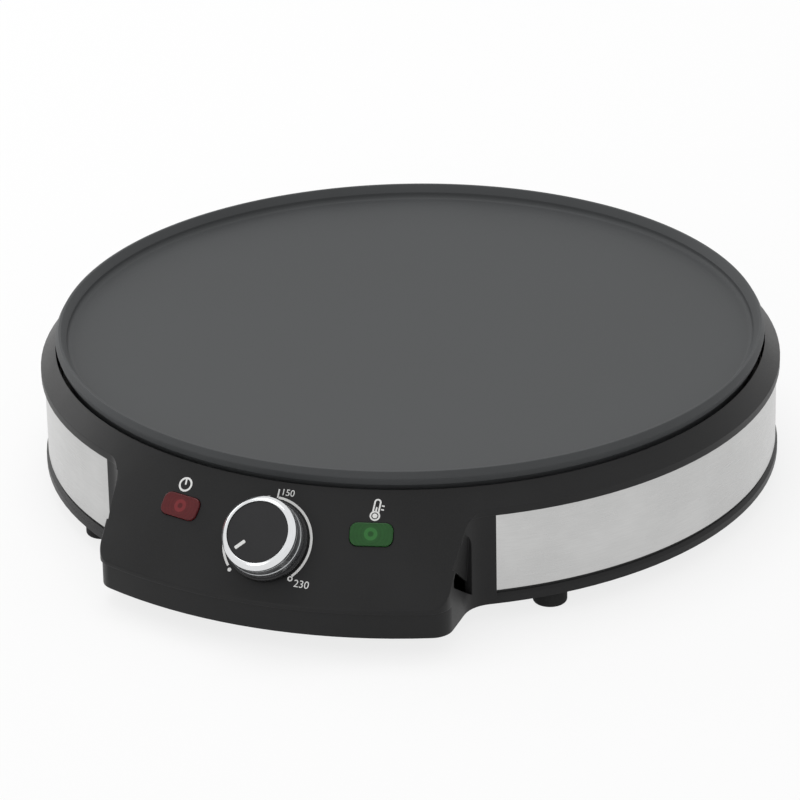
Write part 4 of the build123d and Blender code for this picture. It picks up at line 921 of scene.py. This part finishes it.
@dataclass
class HotPlate:
    """Turned cooking plate with its raised rim, its skirt and the heater's rib under it."""

    turned: TurnedTree
    rim_height: float = 0.0062
    crest_width: float = 0.0027
    lip_drop: float = 0.0033
    lip_run: float = 0.0026
    rim_round: float = 0.0003
    slope_run: float = 0.0016
    slope_drop: float = 0.0028
    slope_round: float = 0.0012
    crest_round: float = 0.0004
    wall_height: float = 0.0063
    undercut: float = 0.0013
    lip_round: float = 0.00035
    wall_lean: float = 0.0005
    dish_round: float = 0.0024
    wall_draft: float = math.radians(18.0)
    draft: float = math.radians(12.0)
    skirt_depth: float = 0.015
    skirt_wall: float = 0.003
    skirt_round: float = 0.0004
    neck_rise: float = 0.0001
    neck_round: float = 0.0002
    thickness: float = 0.0045
    rib_radius: float = 0.105
    rib_half_width: float = 0.007
    rib_height: float = 0.0053
    steps: int = 288

    def outline(self) -> Outline:
        """The plate's section, from the middle of the dish out over the rim and back underneath.

        Returns:
            The section, open at the axis.
        """
        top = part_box("hot_plate")[1].z
        foot = top - self.skirt_depth
        cook = top - self.rim_height
        under = cook - self.thickness
        crest = PLATE_RADIUS - self.crest_width
        lip = crest - self.lip_run
        wall_foot = top - self.wall_height
        wall = PLATE_RADIUS - (self.wall_height - self.slope_drop) * math.tan(self.wall_draft)
        neck = wall - self.undercut
        skirt = neck - (wall_foot - foot) * math.tan(self.draft)
        rib_in, rib_out = self.rib_radius - self.rib_half_width, self.rib_radius + self.rib_half_width
        return Outline((
            Corner(0.0, cook), Corner(lip - self.wall_lean, cook, self.dish_round),
            Corner(lip, top - self.lip_drop, self.lip_round), Corner(crest, top, self.crest_round),
            Corner(PLATE_RADIUS - self.slope_run, top, self.rim_round),
            Corner(PLATE_RADIUS, top - self.slope_drop, self.slope_round),
            Corner(wall, wall_foot, self.skirt_round),
            Corner(neck, wall_foot + self.neck_rise, self.neck_round),
            Corner(skirt, foot, self.skirt_round), Corner(skirt - self.skirt_wall, foot, self.skirt_round),
            Corner(skirt - self.skirt_wall, under), Corner(rib_out, under),
            Corner(rib_out, under - self.rib_height), Corner(rib_in, under - self.rib_height),
            Corner(rib_in, under), Corner(0.0, under)))

    def build(self) -> None:
        """Turns the plate and puts it on the housing."""
        mesh = self.turned.turn(self.outline(), COATING, Steps=self.steps)
        mesh.transform(Matrix.Translation(PLATE_CENTRE))
        dress(mesh, "cooking_plate", Body.HOUSING, COATING, ["hot_plate"])


@dataclass
class Casing:
    """Moulded shell, its base, the trim strips and the cord's gland."""

    turned: TurnedTree
    swept: TurnedTree
    flat_weight: int = 80
    band_edge: float = 0.00025
    band_steps: int = 160
    band_depth: float = 0.0008
    gland_bore: float = 0.0036
    gland_sleeve: float = 0.006
    gland_flange: float = 0.0025
    gland_face: float = 0.0022
    gland_groove: tuple[float, float] = (0.0026, 0.0014)
    gland_groove_depth: float = 0.0004
    gland_steps: int = 96

    def build_shells(self) -> None:
        """Dresses the moulded shell and the base pan."""
        for node, name, finish in (
            ("upper_casing", "moulded_casing", CASING_BLACK), ("base_cover", "moulded_base", BASE_BLACK),
        ):
            dress_solid(node, name, finish, self.flat_weight)

    def build_bands(self) -> None:
        """Sweeps the two brushed strips round the wall."""
        for node in ("right_trim_band", "left_trim_band"):
            low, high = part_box(node)
            side = node.split("_")[0]
            outer = max(high.x, -low.x)
            first, last = self.ends(node)
            edge = self.band_edge
            section = Outline((
                Corner(outer - self.band_depth, high.z), Corner(outer, high.z, edge),
                Corner(outer, low.z, edge), Corner(outer - self.band_depth, low.z)), closed=True)
            mesh = self.swept.turn(
                section, BAND_STEEL, Steps=self.band_steps, Start_Angle=first, Sweep_Angle=last - first)
            mesh.transform(Matrix.Translation(PLATE_CENTRE))
            dress(mesh, "brushed_strip_" + side, Body.HOUSING, BAND_STEEL, [node])

    def ends(self, node: str) -> tuple[float, float]:
        """Angles about the plate's axis, from +X, between which a strip runs.

        Args:
            node: Name of the strip's node.

        Returns:
            First and last angle in radians.
        """
        points = [v.co - PLATE_CENTRE for v in frame["nodes"][node].data.vertices]
        start = 0.0 if node.startswith("right") else math.pi
        turns = [math.remainder(math.atan2(p.y, p.x) - start, 2.0 * math.pi) for p in points]
        return start + min(turns), start + max(turns)

    def build_gland(self) -> None:
        """Turns the flanged sleeve that the cord comes in through."""
        low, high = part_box("cord_gland")
        radius, length = (high.x - low.x) / 2.0, high.y - low.y
        bore, sleeve, flange = self.gland_bore, self.gland_sleeve, length - self.gland_flange
        groove_in, groove_out = (radius - inset for inset in self.gland_groove)
        floor = length - self.gland_groove_depth
        outline = Outline((
            Corner(bore, length, 0.0006), Corner(radius - self.gland_face, length, 0.0004),
            Corner(groove_in, floor, 0.0002), Corner(groove_out, floor, 0.0002),
            Corner(radius, floor, 0.0009), Corner(radius, flange, 0.0002),
            Corner(sleeve, flange), Corner(sleeve, 0.0, 0.0003), Corner(bore, 0.0, 0.0003)), closed=True)
        mesh = self.turned.turn(outline, GLAND_BLACK, Steps=self.gland_steps)
        centre = Vector(((low.x + high.x) / 2.0, low.y, (low.z + high.z) / 2.0))
        mesh.transform(Matrix.Translation(centre) @ Matrix.Rotation(math.radians(-90.0), 4, "X"))
        dress(mesh, "cord_sleeve", Body.HOUSING, GLAND_BLACK, ["cord_gland"])

    def build(self) -> None:
        """Builds every piece of the casing."""
        self.build_shells()
        self.build_bands()
        self.build_gland()


@dataclass
class Knob:
    """Skirted control knob: black skirt and cap, a rolled chromed ring and a white pointer."""

    turned: TurnedTree
    skirt_radius: float = 0.0184
    skirt_low: float = 0.0009
    skirt_top: float = 0.0031
    height: float = 0.0156
    bore: float = 0.0139
    cap_radius: float = 0.0138
    cap_drop: float = 0.0006
    crown_drop: float = 0.0004
    crown_bend: float = 0.0152
    crown_radius: float = 0.0169
    crown_side: float = 0.0024
    crown_foot: float = 0.0118
    crown_swell: float = 0.00005
    groove: float = 0.0002
    wall_middle: float = 0.0074
    line_step: float = 0.0003
    wall_swell: float = 0.00025
    foot_radius: float = 0.0175
    foot_bevel: float = 0.0004
    skirt_wall: float = 0.0023
    well_depth: float = 0.0012
    boss_radius: float = 0.0052
    boss_bore: float = 0.0031
    boss_depth: float = 0.0018
    cap_depth: float = 0.002
    seam: float = 0.0001
    steps: int = 192

    def crown(self) -> Outline:
        """Polished crown of the ring, rolled over from the cap's bore.

        Returns:
            The closed outline.
        """
        side = self.height - self.crown_side
        return Outline((
            Corner(self.bore, self.height, 0.0003),
            Corner(self.crown_bend, self.height - self.crown_drop, 0.0012),
            Corner(self.crown_radius, side, 0.0010),
            Corner(self.crown_radius + self.crown_swell, self.crown_foot, 0.0002),
            Corner(self.bore, self.crown_foot)), closed=True)

    def wall(self) -> Outline:
        """Wall of the ring under its crown, with one turned line half way down, in a darker and rougher copy of
        the chrome whose darker colour is painted shade.

        Returns:
            The closed outline.
        """
        top, line, step = self.crown_foot - self.seam, self.wall_middle, self.line_step
        radius = self.crown_radius + self.wall_swell
        return Outline((
            Corner(self.bore, top), Corner(self.crown_radius, top, 0.0002),
            Corner(radius, line, 0.0003), Corner(radius - self.groove, line - step, 0.0002),
            Corner(radius - self.groove, line - 2 * step, 0.0002),
            Corner(radius + self.seam, line - 3 * step, 0.0003),
            Corner(self.foot_radius, self.skirt_top + self.seam, 0.0003),
            Corner(self.foot_radius - self.foot_bevel, self.skirt_top),
            Corner(self.bore, self.skirt_top)), closed=True)

    def skirt(self) -> Outline:
        """Black skirt under the ring, hollow below, with the boss that takes the spindle.

        Returns:
            The outline.
        """
        low, inner = self.skirt_low, self.skirt_radius - self.skirt_wall
        return Outline((
            Corner(0.0, self.skirt_top), Corner(self.skirt_radius, self.skirt_top, 0.0005),
            Corner(self.skirt_radius, low, 0.0002), Corner(inner, low), Corner(inner, low + self.well_depth),
            Corner(self.boss_radius, low + self.well_depth), Corner(self.boss_radius, low),
            Corner(self.boss_bore, low), Corner(self.boss_bore, low + self.boss_depth),
            Corner(0.0, low + self.boss_depth)))

    def cap(self) -> Outline:
        """Flat black cap let into the ring.

        Returns:
            The outline.
        """
        top = self.height - self.cap_drop
        return Outline((
            Corner(0.0, top), Corner(self.cap_radius, top, 0.0003),
            Corner(self.cap_radius, top - self.cap_depth), Corner(0.0, top - self.cap_depth)))

    def build(self) -> None:
        """Turns the four round pieces on the dial's axis and paints the pointer."""
        seat = PANEL.basis(DIAL_CENTRE)
        for outline, name, finish, nodes in (
            (self.crown(), "chromed_crown", CHROME, ["knob_ring"]), (self.wall(), "satin_wall", SHADED_SATIN_CHROME, []),
            (self.skirt(), "knob_skirt", KNOB_BLACK, ["knob_body"]),
            (self.cap(), "knob_top", KNOB_BLACK, ["knob_cap"]),
        ):
            mesh = self.turned.turn(outline, finish, Steps=self.steps)
            mesh.transform(seat)
            dress(mesh, name, Body.KNOB, finish, nodes)
        paint_node("knob_pointer", WHITE_INK)


def paint_node(node: str, finish: Finish) -> None:
    """Gives a solid that stays as it is its finish.

    Args:
        node: Name of the solid's node.
        finish: Its finish.
    """
    mesh = frame["nodes"][node].data
    mesh.materials.clear()
    mesh.materials.append(finish.material())


@dataclass
class Windows:
    """Red and green windows of the indicator lamps."""

    def build(self) -> None:
        """Dresses both windows."""
        for node, name, finish in (
            ("red_lens", "red_window", RED_WINDOW), ("green_lens", "green_window", GREEN_WINDOW),
        ):
            dress_solid(node, name, finish)


@dataclass
class Printing:
    """White marks printed on the panel: the dial's scale, its numbers and two pictograms."""

    scale_radius: float = 0.0200
    scale_shift: float = -0.0004
    scale_width: float = 0.0011
    lift: float = 0.00004
    thickness: float = 0.00005
    left_arc: tuple[float, float] = (-131.0, -9.0)
    right_arc: tuple[float, float] = (2.5, 133.0)
    tick: tuple[float, float] = (0.0198, 0.0238)
    dot: tuple[float, float] = (-0.0145, -0.0149)
    open_dot: tuple[float, float] = (0.0138, -0.0149)
    dot_radius: float = 0.0009
    dot_points: int = 24
    ring_points: int = 36
    line: float = 0.0007
    fine_line: float = 0.0006
    figures: tuple[tuple[str, float, float, float], ...] = (
        ("150", 0.0042, 0.0226, 0.0042), ("230", 0.0193, -0.0167, 0.0047))
    shapes: list[Mesh] = field(default_factory=list)

    def strip(self, points: Sequence[tuple[float, float]], width: float, closed: bool = False) -> None:
        """Adds a strip of ink of one width along a line on the panel.

        Args:
            points: The line, as distances right and up from the dial's centre.
            width: Width of the strip.
            closed: Whether the line's ends join.
        """
        work = bmesh.new()
        count = len(points)
        sides = []
        for index, (right, up) in enumerate(points):
            before = points[index - 1] if closed or index else points[index]
            after = points[(index + 1) % count] if closed or index < count - 1 else points[index]
            along = Vector((after[0] - before[0], after[1] - before[1])).normalized()
            out = Vector((-along.y, along.x)) * (width / 2.0)
            sides.append([
                work.verts.new(PANEL.point(right + s * out.x, up + s * out.y, self.lift)) for s in (1, -1)])
        for index in range(count if closed else count - 1):
            (a, b), (c, d) = sides[index], sides[(index + 1) % count]
            work.faces.new((a, b, d, c))
        self.keep(work)

    def keep(self, work: bmesh.types.BMesh) -> None:
        """Gives flat ink its thickness and keeps it.

        Args:
            work: The flat faces, used up by this.
        """
        bmesh.ops.recalc_face_normals(work, faces=work.faces)
        for face in work.faces:
            if face.normal.dot(PANEL_NORMAL) < 0.0:
                face.normal_flip()
        bottom = bmesh.ops.extrude_face_region(work, geom=work.faces[:])
        raised = [item for item in bottom["geom"] if isinstance(item, bmesh.types.BMVert)]
        bmesh.ops.translate(work, verts=raised, vec=PANEL_NORMAL * self.thickness)
        bmesh.ops.recalc_face_normals(work, faces=work.faces)
        mesh = bpy.data.meshes.new("ink")
        work.to_mesh(mesh)
        work.free()
        self.shapes.append(mesh)

    def disc(self, right: float, up: float, radius: float, tall: float = 1.0) -> None:
        """Adds a round dot.

        Args:
            right: Centre, to the right of the dial's centre.
            up: Centre, up the slope.
            radius: The dot's radius.
            tall: Height over width.
        """
        work = bmesh.new()
        spots = self.circle(right, up, radius, tall, self.dot_points)
        work.faces.new([work.verts.new(PANEL.point(*spot, self.lift)) for spot in spots])
        self.keep(work)

    def ring(self, right: float, up: float, radius: float, width: float, tall: float = 1.0) -> None:
        """Adds an open round or oval ring."""
        self.strip(self.circle(right, up, radius, tall, self.ring_points), width, True)

    def circle(
        self, right: float, up: float, radius: float, tall: float, count: int,
    ) -> list[tuple[float, float]]:
        """Points of a circle, or of an oval that is taller by a factor."""
        turns = [2.0 * math.pi * i / count for i in range(count)]
        return [(right + radius * math.cos(a), up + radius * tall * math.sin(a)) for a in turns]

    def arc(self, from_angle: float, to_angle: float) -> None:
        """Adds part of the scale, between two angles clockwise from straight up, in degrees.

        Args:
            from_angle: First angle.
            to_angle: Last angle.
        """
        steps = max(2, round(abs(to_angle - from_angle) / 3.0))
        turns = [math.radians(from_angle + (to_angle - from_angle) * i / steps) for i in range(steps + 1)]
        shift, radius = self.scale_shift, self.scale_radius
        self.strip([(shift + radius * math.sin(a), radius * math.cos(a)) for a in turns], self.scale_width)

    def number(self, text: str, right: float, up: float, size: float) -> None:
        """Adds a plain number centred on a place.

        Args:
            text: The number.
            right: Centre, to the right of the dial's centre.
            up: Centre, up the slope.
            size: Size of the letters.
        """
        curve = bpy.data.curves.new("figure", "FONT")
        curve.body, curve.size, curve.align_x, curve.align_y = text, size, "CENTER", "CENTER"
        holder = bpy.data.objects.new("figure", curve)
        flat = bpy.data.meshes.new_from_object(holder)
        work = bmesh.new()
        work.from_mesh(flat)
        bmesh.ops.remove_doubles(work, verts=work.verts, dist=WELD)
        for vert in work.verts:
            vert.co = PANEL.point(right + vert.co.x, up + vert.co.y, self.lift)
        self.keep(work)
        bpy.data.objects.remove(holder)

    def build(self) -> None:
        """Prints the scale, its numbers, the power sign and the thermometer, all as one piece."""
        self.arc(*self.left_arc)
        self.arc(*self.right_arc)
        self.strip([(0.0, up) for up in self.tick], self.line)
        for figure in self.figures:
            self.number(*figure)
        self.disc(*self.dot, self.dot_radius)
        self.ring(*self.open_dot, self.dot_radius, self.fine_line)
        self.power_sign()
        self.thermometer()
        work = bmesh.new()
        for mesh in self.shapes:
            work.from_mesh(mesh)
        mesh = bpy.data.meshes.new("printed_marks")
        work.to_mesh(mesh)
        work.free()
        dress(mesh, "printed_marks", Body.HOUSING, WHITE_INK)

    def over(self, node: str, right: float, up: float) -> tuple[float, float]:
        """Place on the panel by a window, as distances from the dial's centre."""
        offset = middle(node) - DIAL_CENTRE
        return offset.dot(PANEL.across) + right, offset.dot(PANEL.up) + up

    def power_sign(self) -> None:
        """Ring with a stroke in it, above the red window."""
        right, up = self.over("red_lens", -0.0009, 0.0101)
        self.ring(right, up, 0.0029, 0.0009)
        self.strip([(right, up + 0.0026), (right, up - 0.0001)], 0.0008)

    def thermometer(self) -> None:
        """Thermometer with side marks, above the green window."""
        right, up = self.over("green_lens", 0.0005, 0.0085)
        tube, foot, head = 0.0012, 0.0018, 0.0062
        self.disc(right, up, 0.0011)
        self.ring(right, up, 0.0019, self.line)
        turns = [math.pi * i / 12 for i in range(13)]
        crown = [(right + tube * math.cos(a), up + head + tube * math.sin(a)) for a in turns]
        self.strip([(right + tube, up + foot), *crown, (right - tube, up + foot)], self.line)
        self.strip([(right, up + foot), (right, up + 0.0040)], self.line)
        for step in (0.0033, 0.0050):
            self.strip([(right + 0.0020, up + step), (right + 0.0032, up + step)], self.fine_line)


@dataclass
class Underside:
    """The four rubber feet under the base."""

    turned: TurnedTree
    scatter: ScatterTree
    foot_round: float = 0.0015
    bore: float = 0.00225
    seat_radius: float = 0.0040
    seat_height: float = 0.004
    groove_mouth: tuple[float, float] = (0.0058, 0.0050)
    groove_floor: tuple[float, float] = (0.0056, 0.0052)
    groove_depth: float = 0.0004
    steps: int = 96

    def foot(self) -> Mesh:
        """One soft foot about the origin, standing on z = 0.

        Returns:
            The foot's mesh.
        """
        low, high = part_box("front_left_foot")
        radius, height = (high.x - low.x) / 2.0, high.z - low.z
        (mouth_out, mouth_in), (floor_out, floor_in) = self.groove_mouth, self.groove_floor
        outline = Outline((
            Corner(self.bore, height), Corner(radius, height, 0.0004),
            Corner(radius, 0.0, self.foot_round), Corner(mouth_out, 0.0, 0.0002),
            Corner(floor_out, self.groove_depth, 0.0001), Corner(floor_in, self.groove_depth, 0.0001),
            Corner(mouth_in, 0.0, 0.0002), Corner(self.seat_radius, 0.0, 0.0003),
            Corner(self.seat_radius, self.seat_height), Corner(self.bore, self.seat_height)), closed=True)
        return self.turned.turn(outline, RUBBER, Steps=self.steps)

    def build(self) -> None:
        """Stands a foot at each of the four places."""
        nodes = [f"{row}_{side}_foot" for row in ("front", "rear") for side in ("left", "right")]
        spots = [(Vector((middle(n).x, middle(n).y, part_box(n)[0].z)), Vector((0.0, 0.0, 1.0))) for n in nodes]
        dress(self.scatter.scatter(self.foot(), spots, RUBBER), "rubber_feet", Body.HOUSING, RUBBER, nodes)


@dataclass
class InnerWorks:
    """Solids that keep their own shape and only get a finish."""

    def build(self) -> None:
        """Paints every solid that no piece stands for."""
        finishes = {f.slot: f for f in INNER_FINISHES}
        for name, slot in NODE_SLOTS.items():
            if not frame["nodes"][name].hide_render:
                paint_node(name, finishes[slot])


NODE_SLOTS = {
    "heating_element": "heater_sheath", "element_beads": "ceramic", "element_pins": "pin_steel",
    "heat_shield": "shield_steel", "plate_spacers": "shield_steel", "plate_screws": "screw_steel",
    "base_screws": "screw_steel", "foot_screws": "screw_steel", "rating_plate": "label_metal",
    "thermostat_spindle": "spindle_steel", "thermostat_frame": "thermostat_sheet",
    "thermostat_switch": "switch_moulding", "thermostat_blades": "brass_contact",
    "thermostat_screws": "screw_steel", "travelling_nut": "brass_contact", "contact_arm": "arm_bronze",
    "sensor_bulb": "copper_tube", "thermal_fuse": "fuse_case", "bulb_clip": "clip_steel",
    "fuse_clip": "clip_steel", "clip_screws": "screw_steel", "capillary_tube": "copper_tube",
    "cord_clamp": "clamp_plastic", "cord_clamp_screws": "screw_steel", "terminal_block": "clamp_plastic",
    "terminal_screws": "terminal_steel", "earth_tag": "clip_steel", "earth_screw": "screw_steel",
    "red_lamp": "neon_glass", "green_lamp": "neon_glass", "red_lamp_holder": "holder_plastic",
    "green_lamp_holder": "holder_plastic", "live_wire": "live_insulation",
    "neutral_wire": "neutral_insulation", "earth_wire": "earth_insulation",
    "switched_wire": "switched_insulation", "fuse_lead": "lead_insulation", "lamp_leads": "lead_insulation",
}


# ---------------------------------------------------------------- studio
@dataclass
class Studio:
    """Pale floor, soft lamps, white surroundings and the camera."""

    distance: float = 2.18705
    elevation: float = math.radians(24.11)
    azimuth: float = math.radians(20.3)
    pitch: float = math.radians(25.11)
    yaw: float = math.radians(-0.15)
    roll: float = math.radians(-1.11)
    lens: float = 211.4
    floor_half: float = 6.0
    floor_colour: Colour = (0.93, 0.93, 0.93)
    floor_white: float = 0.8
    room_light: float = 0.68
    lamp_aim: float = 0.04

    def build_camera(self) -> None:
        """Stands the camera in front, above and to the right, tilted a little."""
        aim = Vector((math.sin(self.yaw) * math.cos(self.pitch), math.cos(self.yaw) * math.cos(self.pitch),
                      -math.sin(self.pitch)))
        right = aim.cross(Vector((0.0, 0.0, 1.0))).normalized()
        turn = Matrix((right, right.cross(aim), -aim)).transposed() @ Matrix.Rotation(self.roll, 3, "Z")
        back = Vector((0.0, -math.cos(self.elevation), math.sin(self.elevation))) * self.distance
        about = Matrix.Rotation(self.azimuth, 4, "Z")
        target = PLATE_CENTRE + Vector((0.0, 0.0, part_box("hot_plate")[1].z))
        camera = bpy.data.objects.new("camera", bpy.data.cameras.new("camera"))
        camera.data.lens = self.lens
        camera.data.clip_start, camera.data.clip_end = 0.05, 50.0
        camera.matrix_world = Matrix.Translation(target) @ about @ Matrix.Translation(back) @ turn.to_4x4()
        bpy.context.scene.collection.objects.link(camera)
        bpy.context.scene.camera = camera

    def build_lamp(self, name: str, place: Vector, size: float, watts: float) -> None:
        """Hangs one square soft lamp that points at the plate.

        Args:
            name: Name of the lamp.
            place: Where it hangs.
            size: Side of the square.
            watts: Its power.
        """
        lamp = bpy.data.lights.new(name, "AREA")
        lamp.size, lamp.energy = size, watts
        holder = bpy.data.objects.new(name, lamp)
        aim = PLATE_CENTRE + Vector((0.0, 0.0, self.lamp_aim)) - place
        holder.matrix_world = Matrix.Translation(place) @ aim.to_track_quat("-Z", "Y").to_matrix().to_4x4()
        bpy.context.scene.collection.objects.link(holder)

    def seen(self, tree: bpy.types.NodeTree) -> Socket:
        """Share that is 1 for rays that see the background directly, in a mirror or through glass.

        Args:
            tree: Shader tree of the world or of a material.

        Returns:
            The share.
        """
        path = add_node(tree, "ShaderNodeLightPath").outputs
        total = path["Is Camera Ray"]
        for name in ("Is Glossy Ray", "Is Transmission Ray"):
            larger = add_node(tree, "ShaderNodeMath", {0: total, 1: path[name]}, operation="MAXIMUM")
            total = larger.outputs[0]
        return total

    def build_world(self) -> None:
        """White surroundings to the eye, a plain grey light to the object."""
        world = bpy.data.worlds.new("white_room")
        bpy.context.scene.world = world
        world.use_nodes = True
        tree = world.node_tree
        inputs = {0: self.seen(tree), 3: self.room_light, 4: 1.0}
        strength = add_node(tree, "ShaderNodeMapRange", inputs).outputs[0]
        feed(tree, tree.nodes["Background"].inputs["Color"], WHITE)
        feed(tree, tree.nodes["Background"].inputs["Strength"], strength)

    def build_floor(self) -> None:
        """Pale floor that keeps the shadow and melts into the white behind it."""
        mesh = bpy.data.meshes.new("floor")
        h = self.floor_half
        mesh.from_pydata([(-h, -h, 0.0), (h, -h, 0.0), (h, h, 0.0), (-h, h, 0.0)], [], [(0, 1, 2, 3)])
        floor = bpy.data.objects.new("floor", mesh)
        bpy.context.scene.collection.objects.link(floor)
        paint = Paint("floor_paint")
        seen = self.seen(paint.tree)
        pale = paint.node("ShaderNodeBsdfDiffuse", {"Color": opaque(self.floor_colour)}).outputs[0]
        white = paint.node("ShaderNodeEmission", {"Color": WHITE, "Strength": 1.0}).outputs[0]
        share = paint.calc("MULTIPLY", seen, self.floor_white)
        mixed = paint.node("ShaderNodeMixShader", {0: share, 1: pale, 2: white}).outputs[0]
        output = next(n for n in paint.tree.nodes if n.type == "OUTPUT_MATERIAL")
        paint.tree.links.new(mixed, output.inputs["Surface"])
        mesh.materials.append(paint.material)

    def build(self) -> None:
        """Builds the studio."""
        self.build_camera()
        self.build_world()
        self.build_floor()
        self.build_lamp("top_lamp", Vector((-0.4, 0.4, 2.0)), 1.4, 13.0)
        self.build_lamp("side_lamp", Vector((-1.7, 0.5, 0.8)), 0.9, 5.0)
        self.build_lamp("front_lamp", Vector((-0.4, -2.1, 0.5)), 0.8, 2.5)
        bpy.context.scene.view_settings.view_transform = "Standard"


def main() -> None:
    """Builds the dressed crepe maker, sub-assembly by sub-assembly, and then its studio."""
    logging.basicConfig(level=logging.INFO, format="%(name)s %(message)s")
    turned, swept, scatter = TurnedTree(whole=True), TurnedTree(whole=False), ScatterTree()
    for part in (
        HotPlate(turned), Casing(turned, swept), Knob(turned), Windows(), Printing(),
        Underside(turned, scatter), InnerWorks(), Studio(),
    ):
        LOG.info("building %s", type(part).__name__)
        part.build()


if __name__ == "__main__":
    main()
